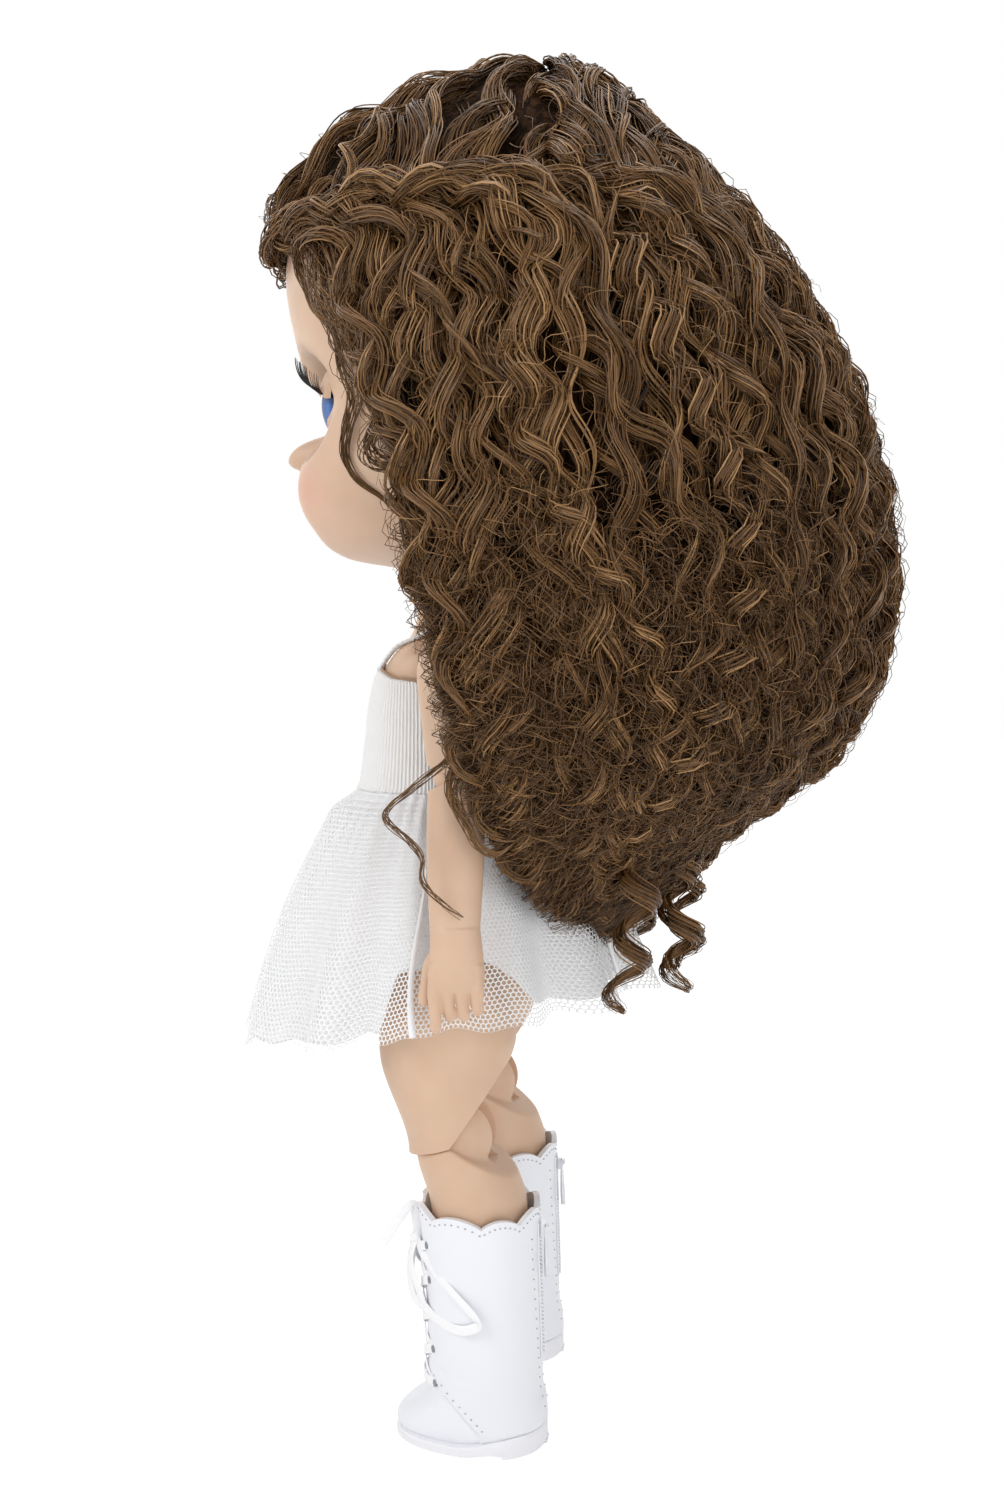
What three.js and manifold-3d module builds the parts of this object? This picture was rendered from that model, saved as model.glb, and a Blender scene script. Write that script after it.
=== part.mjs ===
import * as THREE from 'three';
import { mergeVertices } from 'three/addons/utils/BufferGeometryUtils.js';
import Module from 'manifold-3d';

// A standing play doll with curled hair, a net skirt and laced boots.
// Millimetres, +Z up. The doll faces -Y and its left side is +X.

const wasm = await Module();
wasm.setup();

// Whole figure
const legSpacing = 39;
const bootHeight = 52;
const kneeRise = 14;
const kneeHeight = bootHeight + kneeRise;
const thighLength = 43;
const hipHeight = kneeHeight + thighLength;
const waistRise = 29;
const waistHeight = hipHeight + waistRise;
const shoulderRise = 25.5;
const shoulderHeight = waistHeight + shoulderRise;
const neckRise = 17.5;
const neckHeight = shoulderHeight + neckRise;
const chinRise = 6;
const chinHeight = neckHeight + chinRise;
const headHeight = 94;
const skirtFrontReach = 60.5;
const hairRearReach = 87.5;
const seatGap = 0.35;
const cutOverrun = 60;

// Torso
const torsoY = -14;
const chestHalfWidth = 17.6;
const chestHalfDepth = 13.4;
const torsoWall = 1.8;
const torsoSplitY = -12;
const crotchDrop = 13;
const crotchHeight = hipHeight - crotchDrop;
const neckLip = 2;
const torsoTopHeight = neckHeight + neckLip;
const torsoPower = 2.2;
const shoulderCutX = 19.6;
const screwHeadRadius = 2.2;
const screwShankRadius = 1;
const screwHeadLength = 1.4;
const postRadius = 3;
const lowerScrewDrop = 12;
const lowerScrewHeight = waistHeight - lowerScrewDrop;
const upperScrewRise = 18;
const upperScrewHeight = waistHeight + upperScrewRise;

// Neck
const neckBallRadius = 5.6;
const neckPegRadius = 4.6;
const neckFlangeRadius = 8;
const neckFlangeLength = 2.4;
const neckY = -12;

// Head shells
const headY = -3;
const headHalfWidth = 46;
const faceReach = 43.5;
const napeReach = 43;
const headWall = 2.4;
const headSplitY = -2;
const scalpRise = 71;
const scalpHeight = chinHeight + scalpRise;
const noseOut = 4.4;
const noseRise = 24;
const noseHeight = chinHeight + noseRise;
const noseHalfWidth = 3.6;
const cheekOut = 2;
const cheekX = 17;
const cheekRise = 14;
const cheekHeight = chinHeight + cheekRise;
const cheekSpread = 9;
const lipOut = 1.3;
const lipRise = 7;
const lipHeight = chinHeight + lipRise;
const lipHalfWidth = 5;

// Eyes
const eyeX = 18.6;
const eyeY = -22.5;
const eyeRise = 32;
const eyeHeight = chinHeight + eyeRise;
const eyeRadius = 12;
const eyeOpeningHalfWidth = 9.4;
const eyeOpeningHalfHeight = 9;
const eyeInnerFlat = 10;
const eyeBarRadius = 1.6;
const lidWall = 0.8;
const lashReach = 6.5;
const lashThickness = 0.5;
const lashRise = 0.36;
const lashSpread = 0.5;
const eyeLugWidth = 3;
const eyeLugHalfHeight = 5;
const eyeLugX = 6;
const eyePlateDepth = 2.4;
const eyePlateY = -9;
const eyePlateHalfHeight = 6;

// Arms
const shoulderX = 26;
const shoulderY = -8;
const shoulderRadius = 6;
const armLean = 7.5;
const upperArmLength = 20.5;
const elbowHeight = shoulderHeight - upperArmLength;
const elbowY = -4.7;
const elbowHalfDepth = 5.7;
const elbowKnobRadius = 4.6;
const forearmLength = 30;
const wristHeight = elbowHeight - forearmLength;
const wristX = 41.5;
const wristY = -3.7;
const handY = -3.1;
const wristHalfDepth = 4.9;
const wristHalfWidth = 4;
const handLength = 19;
const fingertipHeight = wristHeight - handLength;
const palmHalfDepth = 5.6;
const palmHalfWidth = 2.9;
const fingerRadius = 1.5;
const thumbRise = 4.5;
const thumbHeight = fingertipHeight + thumbRise;

// Legs
const hipX = 16.8;
const hipY = -12;
const hipRadius = 12;
const thighHalfWidth = 13;
const thighHalfDepth = 14.6;
const kneeY = -7;
const kneeHalfDepth = 10.1;
const kneeHalfWidth = 10.2;
const kneeKnobRadius = 8.4;
const kneeSlope = 0.33;
const calfHalfDepth = 10.3;
const calfHalfWidth = 10.4;
const calfY = -2.4;
const footLength = 26.5;
const footHeelY = 9.2;

// Hidden joint links
const linkRodRadius = 1.6;
const linkBallRadius = 3;
const linkClearance = 1;
const linkSwayShare = 0.6;
const lugHalfWidthShare = 0.28;
const lugRadiusShare = 0.6;
const pinRadius = 1.3;

// Dress
const knitWall = 1;
const knitGap = 0.5;
const bodiceHeight = 27;
const bodiceFrontTop = waistHeight + bodiceHeight;
const bodiceSideDip = 4.5;
const bodiceSideTop = bodiceFrontTop - bodiceSideDip;
const strapX = 11;
const strapWidth = 2.2;
const strapWall = 0.8;
const closureWidth = 5;
const skirtWaistHalfWidth = 21;
const skirtWaistDepthShare = 1.64;
const skirtSideReach = 38;
const skirtRearReach = 49;
const skirtLength = 56;
const skirtHemHeight = waistHeight - skirtLength;
const skirtHemRise = 9;
const clothWall = 0.7;
const netGap = 1.1;
const liningLift = 6;
const foldDepth = 2.6;
const foldCount = 12;

// Boots
const bootFrontReach = 20.2;
const bootRearReach = 12.4;
const bootHalfWidth = 12;
const bootWall = 0.9;
const soleThickness = 2.6;
const heelThickness = 5;
const heelStepY = 4;
const scallopDepth = 1.8;
const rimDip = 0.3;
const laceRadius = 0.7;
const bowLoopLength = 13;
const bowTailLength = 10;
const pullLength = 10.5;
const pullWidth = 3;
const pullThickness = 1.2;

// Hair
const hairTopRise = 105.5;
const hairTopHeight = chinHeight + hairTopRise;
const hairDrop = 83;
const hairBottomHeight = chinHeight - hairDrop;
const hairHalfWidth = 66;
const hairFrontReach = 62.5;
const leastHairHalf = 3;
const hairY = 12;
const hairWall = 4;
const hairLift = 1.6;
const lockDepth = 2.2;
const fallLineDrop = 1;
const hairFallHeight = chinHeight - fallLineDrop;
const hairSectionGap = 0.4;
const crownDepth = 28.5;
const fringeHeight = hairTopHeight - crownDepth;
const fringeRearY = -16;
const sideRearY = 34;
const shoulderRoomHalfWidth = 47;
const shoulderRoomRearY = 9;
const ringletRadius = 3.6;
const ringletTubeRadius = 2;
const ringletPitch = 14;
const ringletLength = 38;
const ringletRows = [
  ['ringlet_left', 31, 28, 7], ['ringlet_rear_left', 14, 40, 8],
  ['ringlet_rear_right', -11, 41, 5], ['ringlet_right', -31, 29, 6],
];

// Mesh helpers

function solid(geometry) {
  const plain = geometry.index ? geometry.clone() : geometry;
  plain.deleteAttribute('normal');
  plain.deleteAttribute('uv');
  const merged = mergeVertices(plain);
  const numProp = 3;
  const vertProperties = new Float32Array(merged.attributes.position.array);
  const triVerts = new Uint32Array(merged.index.array);
  return new wasm.Manifold(new wasm.Mesh({ numProp, vertProperties, triVerts }));
}

function geometryOf(manifold) {
  const mesh = manifold.getMesh();
  const geometry = new THREE.BufferGeometry();
  geometry.setAttribute('position', new THREE.BufferAttribute(new Float32Array(mesh.vertProperties), 3));
  geometry.setIndex(new THREE.BufferAttribute(new Uint32Array(mesh.triVerts), 1));
  geometry.computeVertexNormals();
  return geometry;
}

function indexed(points, faces) {
  const geometry = new THREE.BufferGeometry();
  geometry.setAttribute('position', new THREE.BufferAttribute(new Float32Array(points.flat()), 3));
  geometry.setIndex(faces.flat());
  return geometry;
}

// A closed body through a stack of point rings, lowest first, each counter-clockwise from above
function loft(rings) {
  const count = rings[0].length;
  const points = rings.flat();
  const faces = [];
  for (let i = 0; i + 1 < rings.length; i++) {
    for (let j = 0; j < count; j++) {
      const k = (j + 1) % count;
      const a = i * count + j;
      const b = i * count + k;
      faces.push([a, b, b + count], [a, b + count, a + count]);
    }
  }
  for (const [ring, start, up] of [[rings[0], 0, false], [rings.at(-1), (rings.length - 1) * count, true]]) {
    const centre = points.length;
    points.push([0, 1, 2].map((axis) => ring.reduce((sum, p) => sum + p[axis], 0) / count));
    for (let j = 0; j < count; j++) {
      const k = (j + 1) % count;
      faces.push(up ? [centre, start + j, start + k] : [centre, start + k, start + j]);
    }
  }
  return indexed(points, faces);
}

// A closed band of cloth between outer rings and inner rings, both lowest first
function band(outer, inner) {
  const loop = [...outer, ...inner.slice().reverse()];
  const count = outer[0].length;
  const points = loop.flat();
  const faces = [];
  for (let i = 0; i < loop.length; i++) {
    const next = (i + 1) % loop.length;
    for (let j = 0; j < count; j++) {
      const k = (j + 1) % count;
      const a = i * count + j;
      const b = i * count + k;
      faces.push([a, b, next * count + k], [a, next * count + k, next * count + j]);
    }
  }
  return indexed(points, faces);
}

// A level ring: half-width across X, and separate reaches to the front and the rear
function ring(x, y, z, halfWidth, front, rear, count, power = 2) {
  const points = [];
  for (let j = 0; j < count; j++) {
    const angle = (j / count) * 2 * Math.PI;
    const c = Math.cos(angle);
    const s = Math.sin(angle);
    const stretch = (Math.abs(c) ** power + Math.abs(s) ** power) ** (-1 / power);
    points.push([x + halfWidth * c * stretch, y + (s < 0 ? front : rear) * s * stretch, z]);
  }
  return points;
}

// Smooth value at t from a table of rows [t, value, value, ...]
function rowAt(table, t) {
  const last = table.length - 1;
  let i = 0;
  while (i < last - 1 && t > table[i + 1][0]) i++;
  const rows = [table[Math.max(i - 1, 0)], table[i], table[i + 1], table[Math.min(i + 2, last)]];
  const span = rows[2][0] - rows[1][0];
  const u = Math.min(Math.max((t - rows[1][0]) / span, 0), 1);
  return rows[1].slice(1).map((start, k) => {
    const column = k + 1;
    const slope = (a, b) => (b[0] === a[0] ? 0 : ((b[column] - a[column]) / (b[0] - a[0])) * span);
    const m1 = slope(rows[0], rows[2]);
    const m2 = slope(rows[1], rows[3]);
    const end = rows[2][column];
    return (2 * u ** 3 - 3 * u ** 2 + 1) * start + (u ** 3 - 2 * u ** 2 + u) * m1
      + (3 * u ** 2 - 2 * u ** 3) * end + (u ** 3 - u ** 2) * m2;
  });
}

function levels(count) {
  return Array.from({ length: count }, (_, i) => i / (count - 1));
}

function block(x0, x1, y0, y1, z0, z1) {
  const geometry = new THREE.BoxGeometry(x1 - x0, y1 - y0, z1 - z0);
  geometry.translate((x0 + x1) / 2, (y0 + y1) / 2, (z0 + z1) / 2);
  return solid(geometry);
}

function ball(radius, x, y, z, detail = 2) {
  const geometry = new THREE.IcosahedronGeometry(radius, detail);
  geometry.translate(x, y, z);
  return solid(geometry);
}

// A round rod between two points, with its own end radii
function rod(from, to, radius, endRadius = radius, sides = 12) {
  const a = new THREE.Vector3(...from);
  const b = new THREE.Vector3(...to);
  const geometry = new THREE.CylinderGeometry(endRadius, radius, a.distanceTo(b), sides);
  const turn = new THREE.Quaternion().setFromUnitVectors(
    new THREE.Vector3(0, 1, 0), b.clone().sub(a).normalize());
  geometry.applyQuaternion(turn);
  geometry.translate((a.x + b.x) / 2, (a.y + b.y) / 2, (a.z + b.z) / 2);
  return solid(geometry);
}

// A rod of the YZ outline's shape across the whole width, from points [y, z]
function acrossX(outline, x0, x1) {
  const shape = new THREE.Shape(outline.map(([y, z]) => new THREE.Vector2(y, z)));
  const geometry = new THREE.ExtrudeGeometry(shape, { depth: x1 - x0, bevelEnabled: false });
  geometry.applyMatrix4(new THREE.Matrix4().set(0, 0, 1, x0, 1, 0, 0, 0, 0, 1, 0, 0, 0, 0, 0, 1));
  return solid(geometry);
}

// A thin round tube along a smooth curve through points
function tube(points, radius, steps, sides = 6) {
  const curve = new THREE.CatmullRomCurve3(points.map((p) => new THREE.Vector3(...p)));
  const section = new THREE.Shape();
  for (let i = 0; i < sides; i++) {
    const angle = (i / sides) * 2 * Math.PI;
    section[i ? 'lineTo' : 'moveTo'](radius * Math.cos(angle), radius * Math.sin(angle));
  }
  section.closePath();
  return solid(new THREE.ExtrudeGeometry(section, { steps, extrudePath: curve, bevelEnabled: false }));
}

function paint(colour, roughness, metalness = 0) {
  return () => new THREE.MeshStandardMaterial({ color: colour, roughness, metalness });
}

const skin = paint('#dec0a2', 0.5);
const brownHair = paint('#64503a', 0.55);
const white = paint('#f1f1f3', 0.6);
const netWhite = paint('#f6f4f3', 0.8);
const ivory = paint('#e9e6e1', 0.5);
const blueGlass = paint('#2d4a86', 0.15);
const black = paint('#15110f', 0.5);
const steel = paint('#b9bbbf', 0.3, 0.9);

const doll = new THREE.Group();
doll.position.y = (skirtFrontReach - hairRearReach) / 2;

function add(name, body, material) {
  const mesh = new THREE.Mesh(body.isBufferGeometry ? body : geometryOf(body), material());
  mesh.name = name;
  doll.add(mesh);
}

const sides = [['left', 1], ['right', -1]];
const kneeX = legSpacing / 2;

// Head form: rows of height share, half-width share, front share and rear share
const headShares = [
  [0, 0.3, 0.5, 0.3], [0.021, 0.55, 0.74, 0.5], [0.064, 0.69, 0.875, 0.6], [0.16, 0.85, 0.94, 0.75],
  [0.266, 0.945, 0.905, 0.86], [0.34, 0.98, 0.875, 0.92], [0.457, 1, 0.93, 0.98], [0.628, 0.985, 1, 1],
  [0.734, 0.93, 0.965, 0.95], [0.82, 0.82, 0.86, 0.84], [0.897, 0.64, 0.67, 0.67],
  [0.957, 0.41, 0.43, 0.44], [1, 0.1, 0.1, 0.1],
];

function bump(out, x, z, centreX, centreZ, spreadX, spreadZ) {
  return out * Math.exp(-(((x - centreX) / spreadX) ** 2) - ((z - centreZ) / spreadZ) ** 2);
}

// Face relief in front of the plain head form: nose, cheeks and lips
function faceRelief(x, z) {
  return bump(noseOut, x, z, 0, noseHeight, noseHalfWidth, noseHalfWidth * 1.2)
    + bump(cheekOut, Math.abs(x), z, cheekX, cheekHeight, cheekSpread, cheekSpread * 0.8)
    + bump(lipOut, x, z, 0, lipHeight, lipHalfWidth, lipHalfWidth * 0.45);
}

function headForm(inset, ringCount, pointCount, relief) {
  const rings = levels(ringCount).map((u) => {
    const share = (1 - Math.cos(Math.PI * u)) / 2;
    const [width, front, rear] = rowAt(headShares, share);
    const z = chinHeight + inset + share * (headHeight - 2 * inset);
    const points = ring(0, headY, z, Math.max(width * headHalfWidth - inset, inset),
      Math.max(front * faceReach - inset, inset), Math.max(rear * napeReach - inset, inset), pointCount);
    return relief ? points.map(([x, y, h]) => [x, y < headY ? y - faceRelief(x, h) : y, h]) : points;
  });
  return solid(loft(rings));
}

const headFine = headForm(0, 17, 29, true);
const headPlain = headForm(0, 10, 18, false);
const headInner = headForm(headWall, 9, 16, false);
const neckHoleRadius = neckPegRadius + seatGap;
const neckFlangeHeight = chinHeight + headWall + seatGap;

function buildHeadShells() {
  const neckHole = rod([0, neckY, chinHeight - headWall], [0, neckY, chinHeight + 3 * headWall],
    neckHoleRadius, neckHoleRadius, 16);
  let mask = headFine.subtract(headInner).subtract(neckHole);
  const shell = headPlain.subtract(headInner).subtract(neckHole);
  for (const [, side] of sides) {
    const opening = new THREE.CylinderGeometry(1, 1, eyeRadius * 2, 20);
    opening.scale(eyeOpeningHalfWidth, 1, eyeOpeningHalfHeight);
    opening.translate(side * eyeX, eyeY - eyeRadius * 1.5, eyeHeight);
    mask = mask.subtract(solid(opening))
      .subtract(ball(eyeRadius + lidWall + seatGap * 4, side * eyeX, eyeY, eyeHeight, 2));
  }
  const top = chinHeight + headHeight + headWall;
  const under = block(-cutOverrun, cutOverrun, -cutOverrun, cutOverrun, chinHeight - headWall, scalpHeight);
  const front = block(-cutOverrun, cutOverrun, -cutOverrun, headSplitY, chinHeight - headWall, top);
  const rear = block(-cutOverrun, cutOverrun, headSplitY + seatGap, cutOverrun, chinHeight - headWall, top);
  const over = block(-cutOverrun, cutOverrun, -cutOverrun, cutOverrun, scalpHeight + seatGap, top);
  add('face_shell', mask.intersect(under).intersect(front), skin);
  add('back_shell', shell.intersect(under).intersect(rear), skin);
  add('scalp_cap', shell.intersect(over), brownHair);
}

function buildEyes() {
  for (const [name, side] of sides) {
    const inner = eyeX - eyeInnerFlat;
    const keep = side > 0
      ? block(inner, cutOverrun, -cutOverrun, 0, 0, eyeHeight * 2)
      : block(-cutOverrun, -inner, -cutOverrun, 0, 0, eyeHeight * 2);
    add(`eye_${name}`, ball(eyeRadius, side * eyeX, eyeY, eyeHeight, 2).intersect(keep), blueGlass);
    const lidOuter = ball(eyeRadius + seatGap * 2 + lidWall, side * eyeX, eyeY, eyeHeight, 2);
    const lidInner = ball(eyeRadius + seatGap * 2, side * eyeX, eyeY, eyeHeight, 2);
    const lidCut = acrossX([
      [eyeY, eyeHeight + eyeRadius * 0.34], [eyeY - eyeRadius * 1.5, eyeHeight + eyeRadius * 0.34],
      [eyeY - eyeRadius * 1.5, eyeHeight + eyeRadius * 1.5], [eyeY, eyeHeight + eyeRadius * 1.5],
    ], side * eyeX - eyeRadius * 0.6, side * eyeX + eyeRadius * 0.6);
    add(`eyelid_${name}`, lidOuter.subtract(lidInner).intersect(lidCut), skin);
    buildLashes(name, side);
  }
  add('eye_bar', rod([-(eyeX - eyeInnerFlat - seatGap), eyeY, eyeHeight],
    [eyeX - eyeInnerFlat - seatGap, eyeY, eyeHeight], eyeBarRadius), ivory);
}

// A fan of lashes standing out from the lid's lower edge
function buildLashes(name, side) {
  const rootRadius = eyeRadius + seatGap * 3 + lidWall;
  const count = 8;
  const rows = [0, 0.5, 1].map((out) => levels(count).map((u) => {
    const turn = (u - 0.5) * lashSpread;
    const reach = rootRadius + out * lashReach;
    return new THREE.Vector3(
      side * eyeX + reach * Math.sin(turn) * Math.cos(lashRise),
      eyeY - reach * Math.cos(turn) * Math.cos(lashRise),
      eyeHeight + reach * Math.sin(lashRise));
  }));
  const points = [];
  for (const lift of [-lashThickness / 2, lashThickness / 2]) {
    for (const row of rows) points.push(...row.map((p) => [p.x, p.y, p.z + lift]));
  }
  const layer = rows.length * count;
  const faces = [];
  const quad = (a, b, c, d) => faces.push([a, b, c], [a, c, d]);
  for (let i = 0; i + 1 < rows.length; i++) {
    for (let j = 0; j + 1 < count; j++) {
      const a = i * count + j;
      quad(a, a + 1, a + count + 1, a + count);
      quad(layer + a, layer + a + count, layer + a + count + 1, layer + a + 1);
    }
    const first = i * count;
    const last = first + count - 1;
    quad(first, first + count, layer + first + count, layer + first);
    quad(last, layer + last, layer + last + count, last + count);
  }
  for (let j = 0; j + 1 < count; j++) {
    const tip = (rows.length - 1) * count + j;
    quad(j, layer + j, layer + j + 1, j + 1);
    quad(tip, tip + 1, layer + tip + 1, layer + tip);
  }
  add(`lashes_${name}`, indexed(points, faces), black);
}

function buildEyeFrame() {
  const room = headForm(headWall + seatGap, 9, 16, false);
  const wide = headHalfWidth;
  let frame = block(-wide, wide, eyePlateY, eyePlateY + eyePlateDepth,
    eyeHeight - eyePlateHalfHeight, eyeHeight + eyePlateHalfHeight).intersect(room);
  const fullFace = block(-wide, wide, -cutOverrun, headSplitY - seatGap, 0, eyeHeight * 2);
  frame = frame.intersect(fullFace);
  for (const [, side] of sides) {
    const x = side * eyeLugX;
    frame = frame.add(block(x - eyeLugWidth / 2, x + eyeLugWidth / 2, eyeY - eyeLugHalfHeight,
      eyePlateY + eyePlateDepth / 2, eyeHeight - eyeLugHalfHeight, eyeHeight + eyeLugHalfHeight));
  }
  const hole = eyeBarRadius + seatGap;
  add('eye_frame', frame.subtract(rod([-wide, eyeY, eyeHeight], [wide, eyeY, eyeHeight], hole)), ivory);
}

// Torso form: rows of height, half-width share, front share, rear share and centre shift share
const torsoShares = [
  [0, 0.2, 0.4, 0.4], [0.06, 0.24, 0.72, 0.7], [0.16, 0.95, 1, 1.08], [0.26, 1.2, 1.26, 1.16],
  [0.36, 1.1, 1.32, 1.05], [0.47, 0.97, 1.24, 0.92], [0.6, 0.97, 1.12, 0.9], [0.7, 1, 1.04, 0.92],
  [0.78, 1.1, 0.88, 0.88], [0.83, 1.0, 0.66, 0.76], [0.87, 0.52, 0.46, 0.64], [0.92, 0.37, 0.36, 0.6],
  [1, 0.35, 0.34, 0.58],
];

function torsoShare(z) {
  return (z - crotchHeight) / (torsoTopHeight - crotchHeight);
}

function torsoRing(z, inset, count) {
  const [width, front, rear] = rowAt(torsoShares, torsoShare(z));
  const least = chestHalfDepth * 0.1;
  return ring(0, torsoY, z, Math.max(width * chestHalfWidth - inset, least),
    Math.max(front * chestHalfDepth - inset, least), Math.max(rear * chestHalfDepth - inset, least),
    count, torsoPower);
}

function torsoReach(z) {
  const [, front, rear] = rowAt(torsoShares, torsoShare(z));
  return [torsoY - front * chestHalfDepth, torsoY + rear * chestHalfDepth];
}

function torsoForm(inset, from, to, ringCount, count) {
  return solid(loft(levels(ringCount).map((u) => torsoRing(from + u * (to - from), inset, count))));
}

const legPaths = [[0, -1, 0], [0, 0, -1], [0, 0.42, -0.9]];

function buildTorso() {
  let body = torsoForm(0, crotchHeight, torsoTopHeight, 12, 16);
  const hollow = torsoForm(torsoWall, hipHeight + hipRadius, shoulderHeight + shoulderRadius, 5, 10);
  body = body.subtract(hollow);
  const holes = [];
  for (const z of [lowerScrewHeight, upperScrewHeight]) {
    const [skinFront, skinRear] = torsoReach(z);
    const rear = skinRear - torsoWall;
    const postEnd = [0, rear + torsoWall / 2, z];
    body = body.add(rod([0, skinFront + torsoWall / 2, z], postEnd, postRadius, postRadius, 8));
    holes.push(rod([0, torsoSplitY - postRadius * 2, z], [0, cutOverrun, z],
      screwShankRadius + seatGap / 2, screwShankRadius + seatGap / 2, 8));
    holes.push(rod([0, rear - screwHeadLength / 2, z], [0, cutOverrun, z],
      screwHeadRadius + seatGap, screwHeadRadius + seatGap, 8));
  }
  for (const [, side] of sides) {
    const x = side * hipX;
    holes.push(ball(hipRadius + seatGap * 2, x, hipY, hipHeight, 2));
    for (const [dx, dy, dz] of legPaths) {
      const reach = cutOverrun;
      holes.push(rod([x, hipY, hipHeight], [x + dx * reach, hipY + dy * reach, hipHeight + dz * reach],
        thighHalfWidth + seatGap * 3.7, thighHalfWidth + seatGap * 3.7, 8));
    }
    const linkHole = linkRodRadius + seatGap;
    holes.push(rod([side * seatGap * 2, hipY, hipHeight], [x, hipY, hipHeight], linkHole, linkHole, 8));
    holes.push(rod([side * shoulderCutX / 2, shoulderY, shoulderHeight],
      [side * shoulderX, shoulderY, shoulderHeight], linkHole, linkHole, 8));
    const armRoom = [side * shoulderCutX, side * cutOverrun].sort((a, b) => a - b);
    holes.push(block(...armRoom, shoulderY - shoulderRadius * 3, shoulderY + shoulderRadius * 3,
      bodiceSideTop - shoulderRadius, torsoTopHeight));
  }
  holes.push(ball(neckBallRadius + seatGap, 0, neckY, neckHeight, 2));
  for (const hole of holes) body = body.subtract(hole);
  const half = (y0, y1) => block(-cutOverrun, cutOverrun, y0, y1, 0, torsoTopHeight * 2);
  add('torso_front', body.intersect(half(-cutOverrun * 2, torsoSplitY)), skin);
  add('torso_back', body.intersect(half(torsoSplitY + seatGap, cutOverrun * 2)), skin);
}

function buildTorsoScrews() {
  for (const [name, z] of [['lower', lowerScrewHeight], ['upper', upperScrewHeight]]) {
    const rear = torsoReach(z)[1] - torsoWall;
    const shankStart = [0, torsoSplitY - postRadius * 1.8, z];
    const shank = rod(shankStart, [0, rear + seatGap, z], screwShankRadius, screwShankRadius, 8);
    const head = rod([0, rear + seatGap - screwHeadLength / 2, z], [0, rear + screwHeadLength / 2, z],
      screwHeadRadius, screwHeadRadius, 8);
    add(`torso_screw_${name}`, shank.add(head), steel);
  }
}

function buildNeck() {
  const profile = [];
  const steps = 6;
  for (let i = 0; i <= steps; i++) {
    const angle = -Math.PI / 2 + (i / steps) * (Math.PI / 2 + 0.55);
    const across = neckBallRadius * Math.cos(angle);
    profile.push(new THREE.Vector2(across, neckHeight + neckBallRadius * Math.sin(angle)));
  }
  profile[0].x = 0;
  profile.push(new THREE.Vector2(neckPegRadius, profile.at(-1).y + seatGap));
  profile.push(new THREE.Vector2(neckPegRadius, neckFlangeHeight));
  profile.push(new THREE.Vector2(neckFlangeRadius, neckFlangeHeight));
  profile.push(new THREE.Vector2(neckFlangeRadius, neckFlangeHeight + neckFlangeLength));
  profile.push(new THREE.Vector2(0, neckFlangeHeight + neckFlangeLength));
  const geometry = new THREE.LatheGeometry(profile, 16);
  geometry.rotateX(Math.PI / 2);
  geometry.translate(0, neckY, 0);
  add('neck_post', solid(geometry), skin);
}

// A limb's stack of level ovals from rows [x, y, z, halfWidth, halfDepth]
function limb(rows, count, steps) {
  const table = rows.map(([x, y, z, width, depth]) => [z, x, y, width, depth]);
  const low = table[0][0];
  const high = table.at(-1)[0];
  const rings = levels(steps).map((u) => {
    const z = low + u * (high - low);
    const [x, y, width, depth] = rowAt(table, z);
    return ring(x, y, z, width, depth, depth, count);
  });
  return solid(loft(rings));
}

// A wedge across X that opens from a hinge point: outline by angles above or below level
function wedge(y, z, fromAngle, toAngle, reach) {
  const corner = (angle) => [y + reach * Math.cos(angle), z + reach * Math.sin(angle)];
  return acrossX([[y, z], corner(fromAngle), corner((fromAngle + toAngle) / 2), corner(toAngle)],
    -cutOverrun * 2, cutOverrun * 2);
}

function linkCavity(x, y, z, side) {
  const rodEnd = [x - side * hipRadius * 1.5, y, z];
  const opening = hipRadius * 1.5 * linkSwayShare + linkRodRadius;
  return ball(linkBallRadius + linkClearance, x, y, z, 0)
    .add(rod([x, y, z], rodEnd, linkRodRadius + linkClearance, opening, 8));
}

function buildLink(name, x, y, z, seatX, side) {
  add(name, ball(linkBallRadius, x, y, z, 0)
    .add(rod([side * seatX, y, z], [x, y, z], linkRodRadius, linkRodRadius, 8)), ivory);
}

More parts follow.
